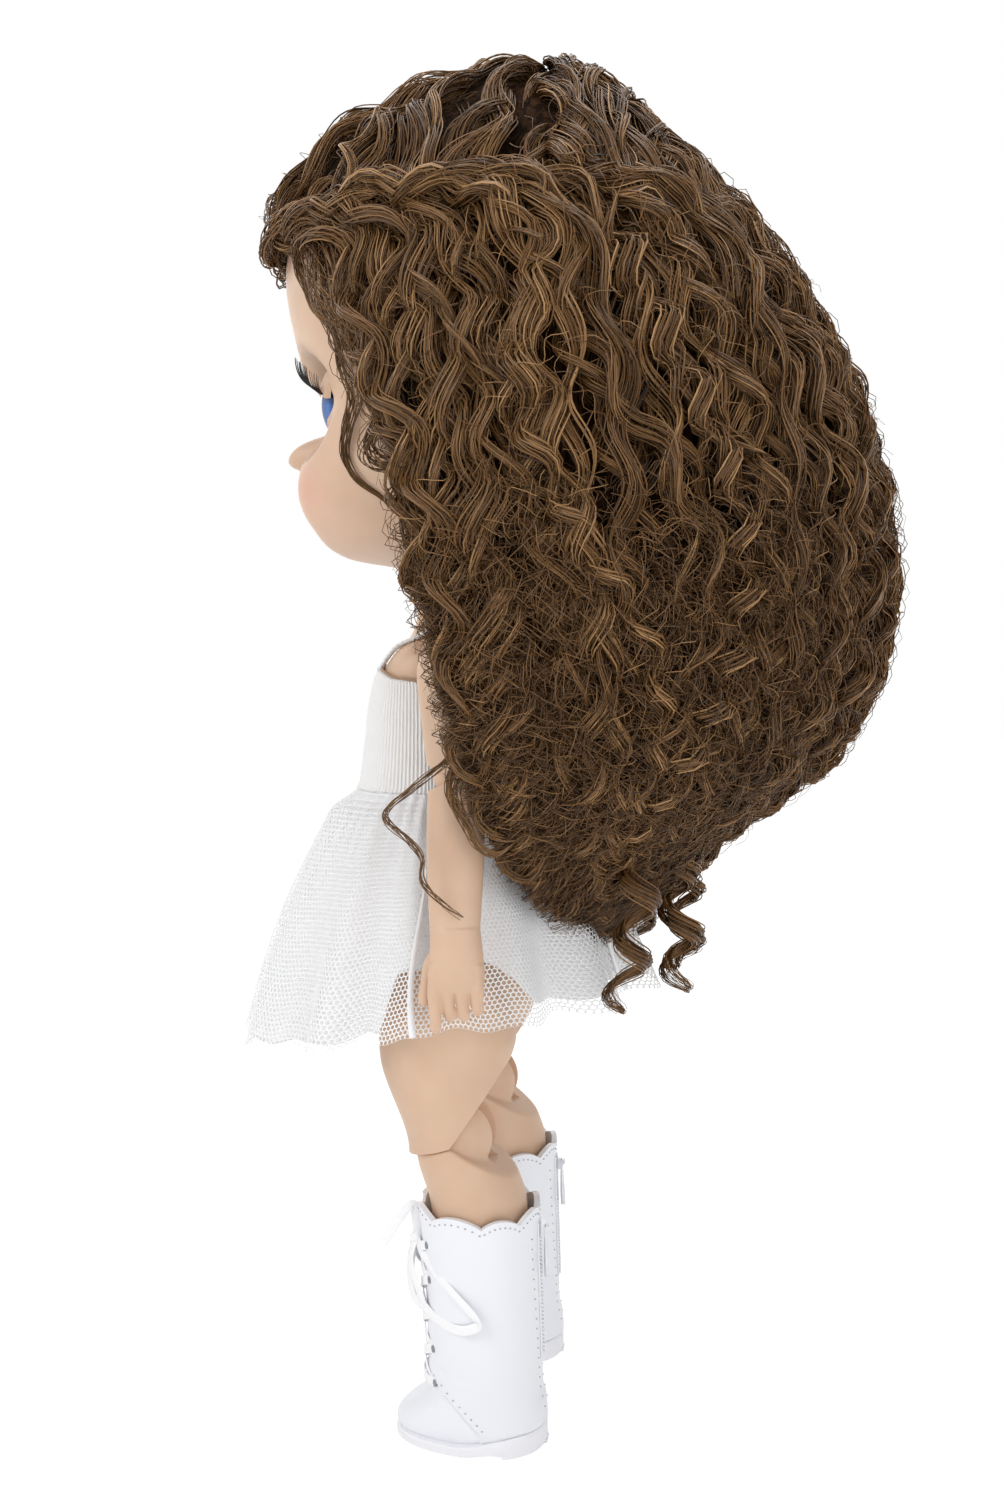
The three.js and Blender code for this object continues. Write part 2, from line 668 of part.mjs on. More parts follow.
function buildLeg(name, side) {
  const x = side * kneeX;
  const top = [side * hipX, hipY, hipHeight];
  const thighRows = [
    [x, kneeY, kneeHeight - kneeKnobRadius, kneeHalfWidth, kneeHalfDepth],
    [x, kneeY - 0.02 * kneeHalfDepth, kneeHeight, kneeHalfWidth, kneeHalfDepth * 1.04],
    [x, (kneeY + hipY) / 2, (kneeHeight * 2 + hipHeight) / 3, thighHalfWidth * 0.93, thighHalfDepth * 0.92],
    [side * (kneeX + hipX) / 2, hipY * 0.77, (kneeHeight + hipHeight) / 2, thighHalfWidth, thighHalfDepth],
    [side * hipX * 1.02, hipY * 0.92, hipHeight - hipRadius * 0.5, hipRadius * 0.96, hipRadius * 0.98],
  ];
  const knee = [x, kneeY, kneeHeight];
  const turnAngle = Math.PI / 2;
  let thigh = limb(thighRows, 14, 6).add(ball(hipRadius, ...top, 2));
  thigh = thigh.subtract(wedge(kneeY, kneeHeight - seatGap / 2, kneeSlope - Math.PI, -turnAngle, cutOverrun));
  thigh = thigh.subtract(wedge(kneeY, kneeHeight - seatGap / 2, -turnAngle, Math.PI * 0.31, cutOverrun));
  thigh = thigh.subtract(ball(kneeKnobRadius + seatGap * 2.2, ...knee, 1)).subtract(linkCavity(...top, side));
  thigh = thigh.add(lug(knee, kneeKnobRadius)).subtract(crossPin(knee, kneeKnobRadius, seatGap / 2));
  add(`thigh_${name}`, thigh, skin);

  const calfRows = [
    [x, footHeelY - calfHalfDepth * 1.05, heelThickness + bootWall + seatGap,
      calfHalfWidth * 0.72, calfHalfDepth * 0.72],
    [x, calfY * 0.4, bootHeight * 0.3, calfHalfWidth * 0.8, calfHalfDepth * 0.82],
    [x, calfY * 0.8, bootHeight * 0.7, calfHalfWidth * 0.92, calfHalfDepth * 0.93],
    [x, calfY, bootHeight, calfHalfWidth, calfHalfDepth],
    [x, (calfY + kneeY) / 2, kneeHeight - kneeKnobRadius * 0.8, kneeHalfWidth, calfHalfDepth],
    [x, kneeY, kneeHeight + kneeKnobRadius * 0.4, kneeHalfWidth, kneeHalfDepth],
  ];
  let calf = limb(calfRows, 14, 6);
  calf = calf.subtract(wedge(kneeY, kneeHeight - seatGap, turnAngle, Math.PI + kneeSlope, cutOverrun));
  calf = calf.subtract(wedge(kneeY, kneeHeight - seatGap, -Math.PI * 0.17, turnAngle, cutOverrun));
  calf = calf.add(ball(kneeKnobRadius, ...knee, 1)).add(buildFoot(x));
  calf = calf.subtract(lugSlot(knee, kneeKnobRadius, 1));
  calf = calf.subtract(crossPin(knee, kneeKnobRadius, seatGap / 2));
  add(`calf_${name}`, calf, skin);
  add(`knee_pin_${name}`, crossPin(knee, kneeKnobRadius, 0), ivory);
  buildLink(`hip_link_${name}`, ...top, seatGap * 4, side);
}

// The upper limb's flat lug, which hangs into the knob below it
function lug([x, y, z], knobRadius) {
  const half = knobRadius * lugHalfWidthShare;
  const round = knobRadius * lugRadiusShare;
  return rod([x - half, y, z], [x + half, y, z], round, round, 12)
    .add(block(x - half, x + half, y - round * 0.8, y + round * 0.8, z, z + knobRadius * 1.3));
}

// The knob's slot, open at the top and on the side that the lug's neck turns to
function lugSlot([x, y, z], knobRadius, way) {
  const half = knobRadius * lugHalfWidthShare + seatGap;
  const round = knobRadius * lugRadiusShare + seatGap;
  const [near, far] = [y - way * round, y + way * cutOverrun].sort((a, b) => a - b);
  return block(x - half, x + half, near, far, z - round, z + cutOverrun);
}

function crossPin([x, y, z], knobRadius, grow) {
  const span = knobRadius * 0.88 + grow;
  return rod([x - span, y, z], [x + span, y, z], pinRadius + grow, pinRadius + grow, 8);
}

function buildFoot(x) {
  const toe = footHeelY - footLength;
  const low = soleThickness + bootWall + seatGap * 2;
  const footY = footHeelY - footLength * 0.42;
  const rows = [
    [low, 0.62, 0.95], [low + 1.6 * bootWall, 0.72, 1],
    [low + 4 * bootWall, 0.7, 0.84], [low + 6 * bootWall, 0.6, 0.55],
  ].map(([z, width, reach]) => ring(x, footY, z, width * calfHalfWidth,
    (footY - toe) * reach, (footHeelY - footY) * reach, 16, 2.3));
  return solid(loft(rows)).subtract(block(x - cutOverrun, x + cutOverrun, heelStepY - seatGap * 3, cutOverrun,
    0, heelThickness + seatGap * 2));
}

function buildArm(name, side) {
  const sx = side * shoulderX;
  const ex = side * (shoulderX + armLean);
  const shoulder = [sx, shoulderY, shoulderHeight];
  const upperRows = [
    [ex, elbowY, elbowHeight - elbowKnobRadius, elbowHalfDepth * 0.94, elbowHalfDepth],
    [ex, elbowY, elbowHeight, elbowHalfDepth * 0.94, elbowHalfDepth],
    [(sx + ex) / 2, (shoulderY + elbowY) / 2, (elbowHeight + shoulderHeight) / 2,
      elbowHalfDepth, elbowHalfDepth * 1.04],
    [sx + side * shoulderRadius * 0.12, shoulderY, shoulderHeight - shoulderRadius * 0.2,
      shoulderRadius * 0.92, shoulderRadius * 0.98],
  ];
  const elbow = [ex, elbowY, elbowHeight];
  let upper = limb(upperRows, 10, 5).add(ball(shoulderRadius, ...shoulder, 1));
  upper = upper.subtract(wedge(elbowY, elbowHeight - seatGap / 2, -Math.PI / 2, 0, cutOverrun));
  upper = upper.subtract(wedge(elbowY, elbowHeight - seatGap / 2, -Math.PI * 1.14, -Math.PI / 2, cutOverrun));
  upper = upper.subtract(ball(elbowKnobRadius + seatGap * 1.2, ...elbow, 1));
  upper = upper.subtract(linkCavity(...shoulder, side));
  upper = upper.add(lug(elbow, elbowKnobRadius)).subtract(crossPin(elbow, elbowKnobRadius, seatGap / 2));
  add(`upper_arm_${name}`, upper, skin);
  buildLink(`shoulder_link_${name}`, ...shoulder, shoulderCutX / 2 + seatGap, side);

  const wx = side * wristX;
  const foreRows = [
    [wx, wristY, wristHeight, wristHalfWidth, wristHalfDepth],
    [(wx + ex) / 2, (elbowY + wristY) / 2, (wristHeight + elbowHeight) / 2,
      elbowHalfDepth * 0.86, elbowHalfDepth],
    [ex, elbowY, elbowHeight, elbowHalfDepth * 0.94, elbowHalfDepth],
    [ex, elbowY, elbowHeight + elbowKnobRadius, elbowHalfDepth * 0.94, elbowHalfDepth],
  ];
  let fore = limb(foreRows, 10, 6);
  fore = fore.subtract(wedge(elbowY, elbowHeight - seatGap, 0, Math.PI / 2, cutOverrun));
  fore = fore.subtract(wedge(elbowY, elbowHeight - seatGap, Math.PI / 2, Math.PI * 1.14, cutOverrun));
  fore = fore.add(ball(elbowKnobRadius, ...elbow, 1)).add(buildHand(side));
  fore = fore.subtract(lugSlot(elbow, elbowKnobRadius, -1));
  fore = fore.subtract(crossPin(elbow, elbowKnobRadius, seatGap / 2));
  add(`forearm_${name}`, fore, skin);
  add(`elbow_pin_${name}`, crossPin(elbow, elbowKnobRadius, 0), ivory);
}

// Hand: finger rows of depth share, length share and curl towards the body
const fingerShares = [[-0.72, 1, 0.1], [-0.24, 0.86, 0.5], [0.24, 0.84, 0.5], [0.7, 0.72, 0.25]];

function buildHand(side) {
  const wx = side * wristX;
  const lean = side * (wristX - shoulderX - armLean) / (elbowHeight - wristHeight);
  const at = (z) => wx + lean * (wristHeight - z);
  const knuckleHeight = (wristHeight + fingertipHeight) / 2;
  const palmHeight = (wristHeight + knuckleHeight) / 2;
  const rows = [
    [at(knuckleHeight), handY, knuckleHeight, palmHalfWidth * 0.8, palmHalfDepth * 0.96],
    [at(knuckleHeight + fingerRadius), handY, knuckleHeight + fingerRadius, palmHalfWidth, palmHalfDepth],
    [at(palmHeight), handY, palmHeight, palmHalfWidth * 1.1, palmHalfDepth * 0.94],
    [wx, wristY, wristHeight + fingerRadius, wristHalfWidth, wristHalfDepth],
  ];
  let hand = limb(rows, 10, 4);
  for (const [depth, length, curl] of fingerShares) {
    const y = handY + depth * palmHalfDepth;
    const reach = (knuckleHeight - fingertipHeight) * length;
    const start = [at(knuckleHeight + fingerRadius), y, knuckleHeight + fingerRadius];
    const middle = [at(knuckleHeight) - side * curl * fingerRadius * 0.4, y, knuckleHeight - reach * 0.5];
    const end = [at(knuckleHeight) - side * curl * fingerRadius * 2.4, y, knuckleHeight - reach];
    hand = hand.add(tube([start, middle, end, beyond(middle, end)], fingerRadius, 3, 4));
  }
  const thumbRoot = [at(wristHeight) - side * fingerRadius, handY - palmHalfDepth * 0.7, palmHeight];
  const thumbEnd = [at(thumbHeight) - side * fingerRadius * 2, handY - palmHalfDepth * 1.25, thumbHeight];
  return hand.add(rod(thumbRoot, thumbEnd, fingerRadius * 1.2, fingerRadius * 0.8, 6));
}

// A point a little further on than the last of two
function beyond(from, to) {
  return to.map((value, axis) => value + (value - from[axis]) * 0.15);
}

// The bodice's top edge seen from the side, lifted by a gap for what sits on it
function bodiceEdge(lift) {
  const front = torsoY - chestHalfDepth;
  return [
    [-cutOverrun, bodiceFrontTop + lift], [front, bodiceFrontTop + lift],
    [(front + torsoY) / 2, bodiceFrontTop - bodiceSideDip * 0.6 + lift], [shoulderY, bodiceSideTop + lift],
    [cutOverrun, bodiceSideTop + lift], [cutOverrun, bodiceFrontTop + cutOverrun],
    [-cutOverrun, bodiceFrontTop + cutOverrun],
  ];
}

function buildBodice() {
  const top = bodiceFrontTop + knitWall;
  const outer = torsoForm(-(knitGap + knitWall), waistHeight, top, 5, 18);
  const inner = torsoForm(-knitGap, waistHeight - knitWall, top + knitWall, 6, 18);
  add('bodice', outer.subtract(inner).subtract(acrossX(bodiceEdge(0), -cutOverrun, cutOverrun)), white);
}

// A flat strap over each shoulder, close on the skin, from the bodice's front edge to its rear edge
function buildStrap(name, side) {
  const x = side * strapX;
  const grown = (by, rise) => torsoForm(-by, crotchHeight, torsoTopHeight, 13, 16).translate([0, 0, rise]);
  const over = grown(knitGap + strapWall, strapWall);
  const under = grown(knitGap, knitGap / 2);
  const slice = acrossX(bodiceEdge(seatGap), x - strapWidth / 2, x + strapWidth / 2);
  add(`strap_${name}`, over.subtract(under).intersect(slice), white);
}

function buildClosure() {
  const skinRear = Math.max(...[waistHeight, bodiceSideTop].map((z) => torsoReach(z)[1]));
  const rear = skinRear + knitGap + knitWall + seatGap;
  add('bodice_closure', block(-closureWidth / 2, closureWidth / 2, rear, rear + knitWall,
    waistHeight + knitWall * 2, bodiceSideTop - knitWall), white);
}

// Skirt: a gathered flare with folds, from the waist to the hem
function skirtRing(down, lift, inset, phase) {
  const count = foldCount * 4;
  const points = [];
  for (let j = 0; j < count; j++) {
    const angle = (j / count) * 2 * Math.PI;
    const c = Math.cos(angle);
    const s = Math.sin(angle);
    const hem = skirtHemHeight + skirtHemRise * (s < 0 ? 1 + s : 1 + 0.45 * s);
    const drop = waistHeight - seatGap - hem;
    const z = waistHeight - seatGap - down * (drop - lift);
    const u = (down * (drop - lift)) / drop;
    const fold = foldDepth * (0.15 + 0.85 * u) * Math.cos(foldCount * angle + phase);
    const flare = 0.12 * Math.sin(Math.PI * u) + u;
    const wide = skirtWaistHalfWidth + (skirtSideReach - skirtWaistHalfWidth) * flare;
    const waistFront = chestHalfDepth * skirtWaistDepthShare;
    const reach = s < 0 ? skirtFrontReach + torsoY - foldDepth : skirtRearReach - foldDepth;
    const deep = waistFront + (reach - waistFront) * flare;
    const radius = 1 / Math.hypot(c / wide, s / deep) + fold - inset;
    points.push([radius * c, torsoY + radius * s, z]);
  }
  return points;
}

function buildSkirt() {
  const rows = [1, 0.67, 0.33, 0];
  const net = (inset) => rows.map((u) => skirtRing(u, 0, inset, 0));
  const lining = (inset) => rows.map((u) => skirtRing(u, liningLift, inset, 0));
  add('tulle_overlay', solid(band(net(0), net(clothWall))), netWhite);
  const under = clothWall + netGap;
  add('skirt_lining', solid(band(lining(under), lining(under + clothWall))), netWhite);
}

// Boot: rows of height share, half-width share, front share and rear share
const bootShares = [
  [0, 0.76, 0.99, 0.97], [0.05, 0.82, 0.985, 0.98], [0.1, 0.83, 0.88, 0.97], [0.145, 0.83, 0.72, 0.95],
  [0.19, 0.85, 0.645, 0.9], [0.42, 0.93, 0.64, 0.87], [0.65, 0.96, 0.665, 0.84], [0.85, 0.99, 0.7, 0.82],
  [1, 1, 0.75, 0.83],
];

function bootForm(x, inset, low, high, count, scalloped) {
  const rings = bootShares.map(([u]) => {
    const z = low + u * (high - low);
    const share = (z - soleThickness) / (bootHeight - soleThickness);
    const [width, front, rear] = rowAt(bootShares, Math.min(Math.max(share, 0), 1));
    return ring(x, 0, z, width * bootHalfWidth - inset, front * bootFrontReach - inset,
      rear * bootRearReach - inset, count, 2.15);
  });
  if (scalloped) {
    rings[rings.length - 1] = rings.at(-1).map(([px, py], j) => {
      const angle = (j / count) * 2 * Math.PI;
      const scallop = scallopDepth * Math.abs(Math.sin(4 * angle));
      return [px, py, bootHeight - rimDip * Math.abs(Math.cos(angle)) - scallopDepth + scallop];
    });
  }
  return solid(loft(rings));
}

function buildBoot(name, side) {
  const x = side * kneeX;
  const low = soleThickness + seatGap;
  const outer = bootForm(x, 0, low, bootHeight, 22, true);
  const inner = bootForm(x, bootWall, low + bootWall, bootHeight + bootWall, 16, false);
  const heelRoom = block(x - cutOverrun, x + cutOverrun, heelStepY - seatGap, cutOverrun,
    0, heelThickness + seatGap);
  add(`boot_upper_${name}`, outer.subtract(inner.subtract(heelRoom)).subtract(heelRoom), white);
  const outline = ring(x, 0, 0, bootHalfWidth * 0.86, bootFrontReach, bootRearReach, 24, 2.15);
  const raised = outline.map(([px, py]) => [px, py, soleThickness]);
  const heelBlock = solid(loft([outline, outline.map(([px, py]) => [px, py, heelThickness])]))
    .intersect(block(x - cutOverrun, x + cutOverrun, heelStepY, cutOverrun,
      -soleThickness, heelThickness * 2));
  add(`boot_sole_${name}`, solid(loft([outline, raised])).add(heelBlock), white);
  buildLace(name, x, side);
  buildZip(name, x);
}

function bootFrontAt(z) {
  const share = (z - soleThickness) / (bootHeight - soleThickness);
  return rowAt(bootShares, share)[1] * bootFrontReach;
}

function buildLace(name, x, side) {
  const stand = laceRadius + seatGap;
  const zig = [];
  const crossings = 5;
  for (let i = 0; i <= crossings; i++) {
    const z = bootHeight * (0.3 + 0.52 * (i / crossings));
    const across = (i % 2 ? 1 : -1) * bootHalfWidth * 0.26;
    zig.push([x + across, -bootFrontAt(z) - stand, z]);
  }
  const knot = [x, -bootFrontAt(bootHeight * 0.84) - stand * 1.6, bootHeight * 0.84];
  zig.push(knot);
  let lace = tube(zig, laceRadius, 8, 3).add(ball(laceRadius * 1.7, ...knot, 0));
  for (const way of [-1, 1]) {
    const out = way * bowLoopLength;
    lace = lace.add(tube([
      knot, [x + out * 0.3, knot[1] - laceRadius * 2, knot[2] + laceRadius],
      [x + out * 0.6, knot[1] - laceRadius * 2, knot[2] - bowLoopLength * 0.4],
      [x + out * 0.45, knot[1] - laceRadius * 3, knot[2] - bowLoopLength * 0.7],
      [x + out * 0.2, knot[1] - laceRadius * 4, knot[2] - bowLoopLength * 0.3], knot,
    ], laceRadius, 6, 3));
    lace = lace.add(tube([
      knot, [x + out * 0.12, knot[1] - bowTailLength * 0.5, knot[2] - laceRadius],
      [x + out * 0.18, knot[1] - bowTailLength * 0.8, knot[2] - bowTailLength * (way * side > 0 ? 0.2 : 0.9)],
    ], laceRadius, 3, 3));
  }
  add(`boot_lace_${name}`, lace, white);
}

function buildZip(name, x) {
  const rear = bootRearReach * 0.86 + seatGap;
  const low = bootHeight * 0.36;
  const trackRear = rear + pullThickness * 0.6;
  const high = bootHeight * 0.92;
  const track = acrossX([[rear, low], [trackRear, low], [trackRear, high], [rear, high]],
    x - pullThickness, x + pullThickness);
  const topZ = bootHeight * 0.9;
  const shape = new THREE.Shape();
  shape.absarc(0, -pullLength + pullWidth / 2, pullWidth / 2, Math.PI * 0.9, Math.PI * 2.1, false);
  shape.lineTo(pullWidth * 0.2, 0);
  shape.lineTo(-pullWidth * 0.2, 0);
  const drop = new THREE.ExtrudeGeometry(shape,
    { depth: pullThickness, bevelEnabled: false, curveSegments: 6 });
  drop.rotateX(Math.PI / 2);
  drop.translate(x, trackRear + seatGap + pullThickness, topZ);
  add(`boot_zip_${name}`, track, white);
  add(`zip_pull_${name}`, solid(drop), steel);
}

// Hair form: rows of height share, half-width share, front share and rear share
const hairShares = [
  [0, 0.16, 0.1, 0.14], [0.06, 0.4, 0.2, 0.34], [0.14, 0.66, 0.4, 0.55], [0.22, 0.86, 0.6, 0.8],
  [0.32, 0.97, 0.75, 0.93], [0.42, 1, 0.85, 0.96], [0.52, 1, 0.9, 0.93], [0.62, 0.97, 0.95, 0.855],
  [0.72, 0.9, 0.99, 0.72], [0.8, 0.81, 1, 0.565], [0.87, 0.67, 0.91, 0.4], [0.93, 0.48, 0.72, 0.245],
  [0.975, 0.26, 0.42, 0.12], [1, 0.06, 0.1, 0.04],
];

// Side view of the hair's front and lower edge, as shares of the hair's height and rear reach
const hairEdgeShares = [
  [-1, 1.1], [-1, 0.79], [-0.66, 0.775], [-0.56, 0.73], [-0.47, 0.62], [-0.34, 0.49], [-0.24, 0.36],
  [-0.19, 0.22], [-0.1, 0.12], [0, 0.04], [0.25, 0], [0.3, -0.2], [1.4, -0.2], [1.4, 1.1],
];

function hairRing(u, inset, count) {
  const height = hairTopHeight - hairBottomHeight;
  const [width, front, rear] = rowAt(hairShares, u);
  const z = hairBottomHeight + inset * (1 - u) + u * (height - inset * (1 - u) - (u === 1 ? inset : 0));
  const points = ring(0, hairY, z, Math.max(width * hairHalfWidth - inset, leastHairHalf),
    Math.max(front * hairFrontReach - inset, leastHairHalf),
    Math.max(rear * (hairRearReach - hairY) - inset, leastHairHalf), count);
  if (inset > 0) return points;
  return points.map(([x, y, h], j) => {
    const angle = (j / count) * 2 * Math.PI;
    const wave = Math.sin(11 * angle + 5 * Math.sin(u * 14)) * 0.6 + Math.sin(17 * angle - u * 31) * 0.4;
    const grow = 1 + (lockDepth * wave * Math.sin(Math.PI * Math.min(u * 1.1, 1))) / hairHalfWidth;
    return [x * grow, hairY + (y - hairY) * grow, h];
  });
}

function hairForm(inset, ringCount, count) {
  return solid(loft(levels(ringCount).map((u) => {
    const share = (1 - Math.cos(Math.PI * u)) / 2 * 0.5 + u * 0.5;
    return hairRing(share, inset, count);
  })));
}

function buildHair() {
  const height = hairTopHeight - hairBottomHeight;
  const rearHalf = hairRearReach - hairY;
  const edge = hairEdgeShares.map(([y, z]) => [hairY + y * rearHalf, hairBottomHeight + z * height]);
  const kept = acrossX(edge, -cutOverrun * 2, cutOverrun * 2);
  const headRoom = headForm(-hairLift, 10, 18, false);
  const bodyRoom = block(-shoulderRoomHalfWidth, shoulderRoomHalfWidth, -cutOverrun, shoulderRoomRearY,
    0, hairFallHeight + seatGap);
  const skirtRoom = solid(loft([1, 0.75, 0.5, 0.25, 0].map((down) => skirtRing(down, 0, -netGap, 0))));
  const mane = hairForm(0, 19, 38).intersect(kept).subtract(skirtRoom).subtract(hairForm(hairWall, 8, 14))
    .subtract(headRoom).subtract(bodyRoom);
  const gap = hairSectionGap / 2;
  const wide = cutOverrun * 2;
  const top = hairTopHeight + hairWall;
  const sections = {
    hair_fringe: [-wide, wide, -wide, fringeRearY - gap, fringeHeight - headWall * 5 + gap, top],
    hair_crown: [-wide, wide, fringeRearY + gap, wide, fringeHeight + gap, top],
    hair_back: [-wide, wide, sideRearY + gap, wide, hairFallHeight + gap, fringeHeight - gap],
    hair_side_left: [gap, wide, -wide, sideRearY - gap, hairFallHeight + gap, fringeHeight - gap],
    hair_side_right: [-wide, -gap, -wide, sideRearY - gap, hairFallHeight + gap, fringeHeight - gap],
    hair_fall_back: [-wide, wide, sideRearY + gap, wide, 0, hairFallHeight - gap],
    hair_fall_left: [gap, wide, -wide, sideRearY - gap, 0, hairFallHeight - gap],
    hair_fall_right: [-wide, -gap, -wide, sideRearY - gap, 0, hairFallHeight - gap],
  };
  const fringe = block(...sections.hair_fringe.map((v, i) => v + (i === 3 ? hairSectionGap : 0)
    - (i === 4 ? hairSectionGap : 0)));
  for (const [name, limits] of Object.entries(sections)) {
    let body = mane.intersect(block(...limits));
    if (name.startsWith('hair_side')) body = body.subtract(fringe);
    add(name, body, brownHair);
  }
  buildRinglets(mane);
}

// Curls that hang out of the hair's lower edge: name, place across and back, and drop below the hair
function buildRinglets(mane) {
  const room = mane.add(mane.translate([0, 0, -seatGap]));
  const turns = ringletLength / ringletPitch;
  for (const [name, x, y, drop] of ringletRows) {
    const low = hairBottomHeight - drop;
    const points = levels(Math.round(turns * 5) + 1).map((u) => {
      const angle = 2 * Math.PI * turns * u * Math.sign(x);
      const reach = ringletRadius * (0.5 + 0.5 * u);
      return [x + reach * Math.cos(angle), y + reach * Math.sin(angle), low + u * ringletLength];
    });
    const pieces = tube(points, ringletTubeRadius, points.length - 1, 5).subtract(room).decompose();
    pieces.sort((a, b) => a.boundingBox().min[2] - b.boundingBox().min[2]);
    add(name, pieces[0], brownHair);
  }
}

buildHeadShells();
buildHair();
buildEyes();
buildEyeFrame();
buildTorso();
buildTorsoScrews();
buildNeck();
for (const [name, side] of sides) {
  buildLeg(name, side);
  buildArm(name, side);
  buildStrap(name, side);
  buildBoot(name, side);
}
buildBodice();
buildClosure();
buildSkirt();

export default doll;
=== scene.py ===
import math
import bpy
import bmesh
import numpy as np
from mathutils import Matrix, Vector


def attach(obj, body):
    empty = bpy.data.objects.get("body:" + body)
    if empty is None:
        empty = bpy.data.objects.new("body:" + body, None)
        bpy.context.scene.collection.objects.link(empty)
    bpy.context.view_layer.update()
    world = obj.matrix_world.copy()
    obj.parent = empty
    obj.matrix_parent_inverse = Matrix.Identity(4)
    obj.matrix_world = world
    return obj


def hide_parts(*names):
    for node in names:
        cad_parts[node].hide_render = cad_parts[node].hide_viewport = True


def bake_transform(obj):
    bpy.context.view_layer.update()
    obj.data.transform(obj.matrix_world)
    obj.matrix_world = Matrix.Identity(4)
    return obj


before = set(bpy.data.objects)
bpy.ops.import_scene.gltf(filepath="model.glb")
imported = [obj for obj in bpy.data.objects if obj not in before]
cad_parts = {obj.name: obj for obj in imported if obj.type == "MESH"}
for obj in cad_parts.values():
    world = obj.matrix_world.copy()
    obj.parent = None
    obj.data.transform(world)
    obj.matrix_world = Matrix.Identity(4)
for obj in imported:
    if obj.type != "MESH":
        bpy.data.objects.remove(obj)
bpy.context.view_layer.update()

mm = 0.001
figureShift = -13.5  # the doll's own Y zero lies this far along Y in the row frame, in mm
sideSigns = {"left": 1, "right": -1}


# Shader nodes

# A new node: "inputs" are numbers to set or sockets to link, "settings" are the node's own choices
def addNode(tree, kind, inputs=None, **settings):
    node = tree.nodes.new("ShaderNode" + kind)
    for key, value in settings.items():
        setattr(node, key, value)
    for key, value in (inputs or {}).items():
        if isinstance(value, bpy.types.NodeSocket):
            tree.links.new(value, node.inputs[key])
        else:
            node.inputs[key].default_value = value
    return node


def linear(r, g, b):
    return tuple(((v / 255 + 0.055) / 1.055) ** 2.4 if v > 10 else v / 255 / 12.92 for v in (r, g, b))


# A colour ramp from stops (place, colour)
def addRamp(tree, fac, stops):
    ramp = addNode(tree, "ValToRGB", {"Fac": fac})
    elements = ramp.color_ramp.elements
    while len(elements) < len(stops):
        elements.new(0.5)
    for element, (place, colour) in zip(elements, stops):
        element.position, element.color = place, (*linear(*colour), 1)
    return ramp.outputs["Color"]


def attributeNode(tree, name):
    return addNode(tree, "Attribute", attribute_name=name)


def newMaterial(name, colour, roughness, **sockets):
    material = bpy.data.materials.new(name)
    material.use_nodes = True
    shader = material.node_tree.nodes["Principled BSDF"]
    shader.inputs["Base Color"].default_value = (*linear(*colour), 1)
    shader.inputs["Roughness"].default_value = roughness
    for key, value in sockets.items():
        shader.inputs[key.replace("_", " ")].default_value = value
    return material, material.node_tree, shader


# Camera, light and floor

camera = {
    "azimuth": 97.6, "distance": 300, "height": 164, "tilt": 3.5, "focalPixels": 1350, "photoHeight": 1506,
    "sensor": 36, "nearClip": 0.01,
}


def makeCamera(c):
    data = bpy.data.cameras.new("camera")
    data.sensor_width = c["sensor"]
    data.lens = c["sensor"] * c["focalPixels"] / c["photoHeight"]  # the sensor lies along the long side
    data.clip_start = c["nearClip"]
    cam = bpy.data.objects.new("camera", data)
    bpy.context.collection.objects.link(cam)
    a, t = math.radians(c["azimuth"]), math.radians(c["tilt"])
    back = Vector((math.sin(a), -math.cos(a), 0))
    cam.location = (back * c["distance"] + Vector((0, figureShift, c["height"]))) * mm
    look = Vector((-back.x * math.cos(t), -back.y * math.cos(t), -math.sin(t)))
    cam.rotation_mode = "QUATERNION"
    cam.rotation_quaternion = look.to_track_quat("-Z", "Y")
    bpy.context.scene.camera = cam


lighting = {
    "world": 0.62, "aim": (0, 0, 0.15),
    "lamps": [  # name, place in metres, size, watts
        ("key", (0.55, -0.75, 0.75), 0.6, 4.6),
        ("fill", (0.85, 0.55, 0.35), 0.8, 3.6),
        ("top", (-0.1, 0.15, 1.0), 0.6, 3.0),
        ("farSide", (-0.8, -0.3, 0.5), 0.8, 2.4),
    ],
}


# 1 for rays that reach the backdrop straight from the camera, from gloss or through something clear
def plainRays(tree):
    rays = addNode(tree, "LightPath").outputs
    total = rays["Is Camera Ray"]
    for kind in ("Is Glossy Ray", "Is Transmission Ray"):
        total = addNode(tree, "Math", {0: total, 1: rays[kind]}, operation="MAXIMUM").outputs[0]
    return total


def makeLight(c):
    for name, place, size, power in c["lamps"]:
        data = bpy.data.lights.new(name, "AREA")
        data.energy = power
        data.size = size
        lamp = bpy.data.objects.new(name, data)
        lamp.location = place
        lamp.rotation_mode = "QUATERNION"
        lamp.rotation_quaternion = (Vector(c["aim"]) - Vector(place)).to_track_quat("-Z", "Y")
        bpy.context.collection.objects.link(lamp)
    world = bpy.data.worlds.new("studio")
    bpy.context.scene.world = world
    world.use_nodes = True
    tree = world.node_tree
    tree.nodes.clear()
    soft = addNode(tree, "Background", {"Strength": c["world"]})
    clear = addNode(tree, "Background", {"Color": (1, 1, 1, 1)})
    mix = addNode(tree, "MixShader", {0: plainRays(tree), 1: soft.outputs[0], 2: clear.outputs[0]})
    addNode(tree, "OutputWorld", {"Surface": mix.outputs[0]})


floor = {"halfSize": 3.0, "drop": 0.0002, "colour": (1, 1, 1, 1), "shadow": 0.2, "glow": 1.15}


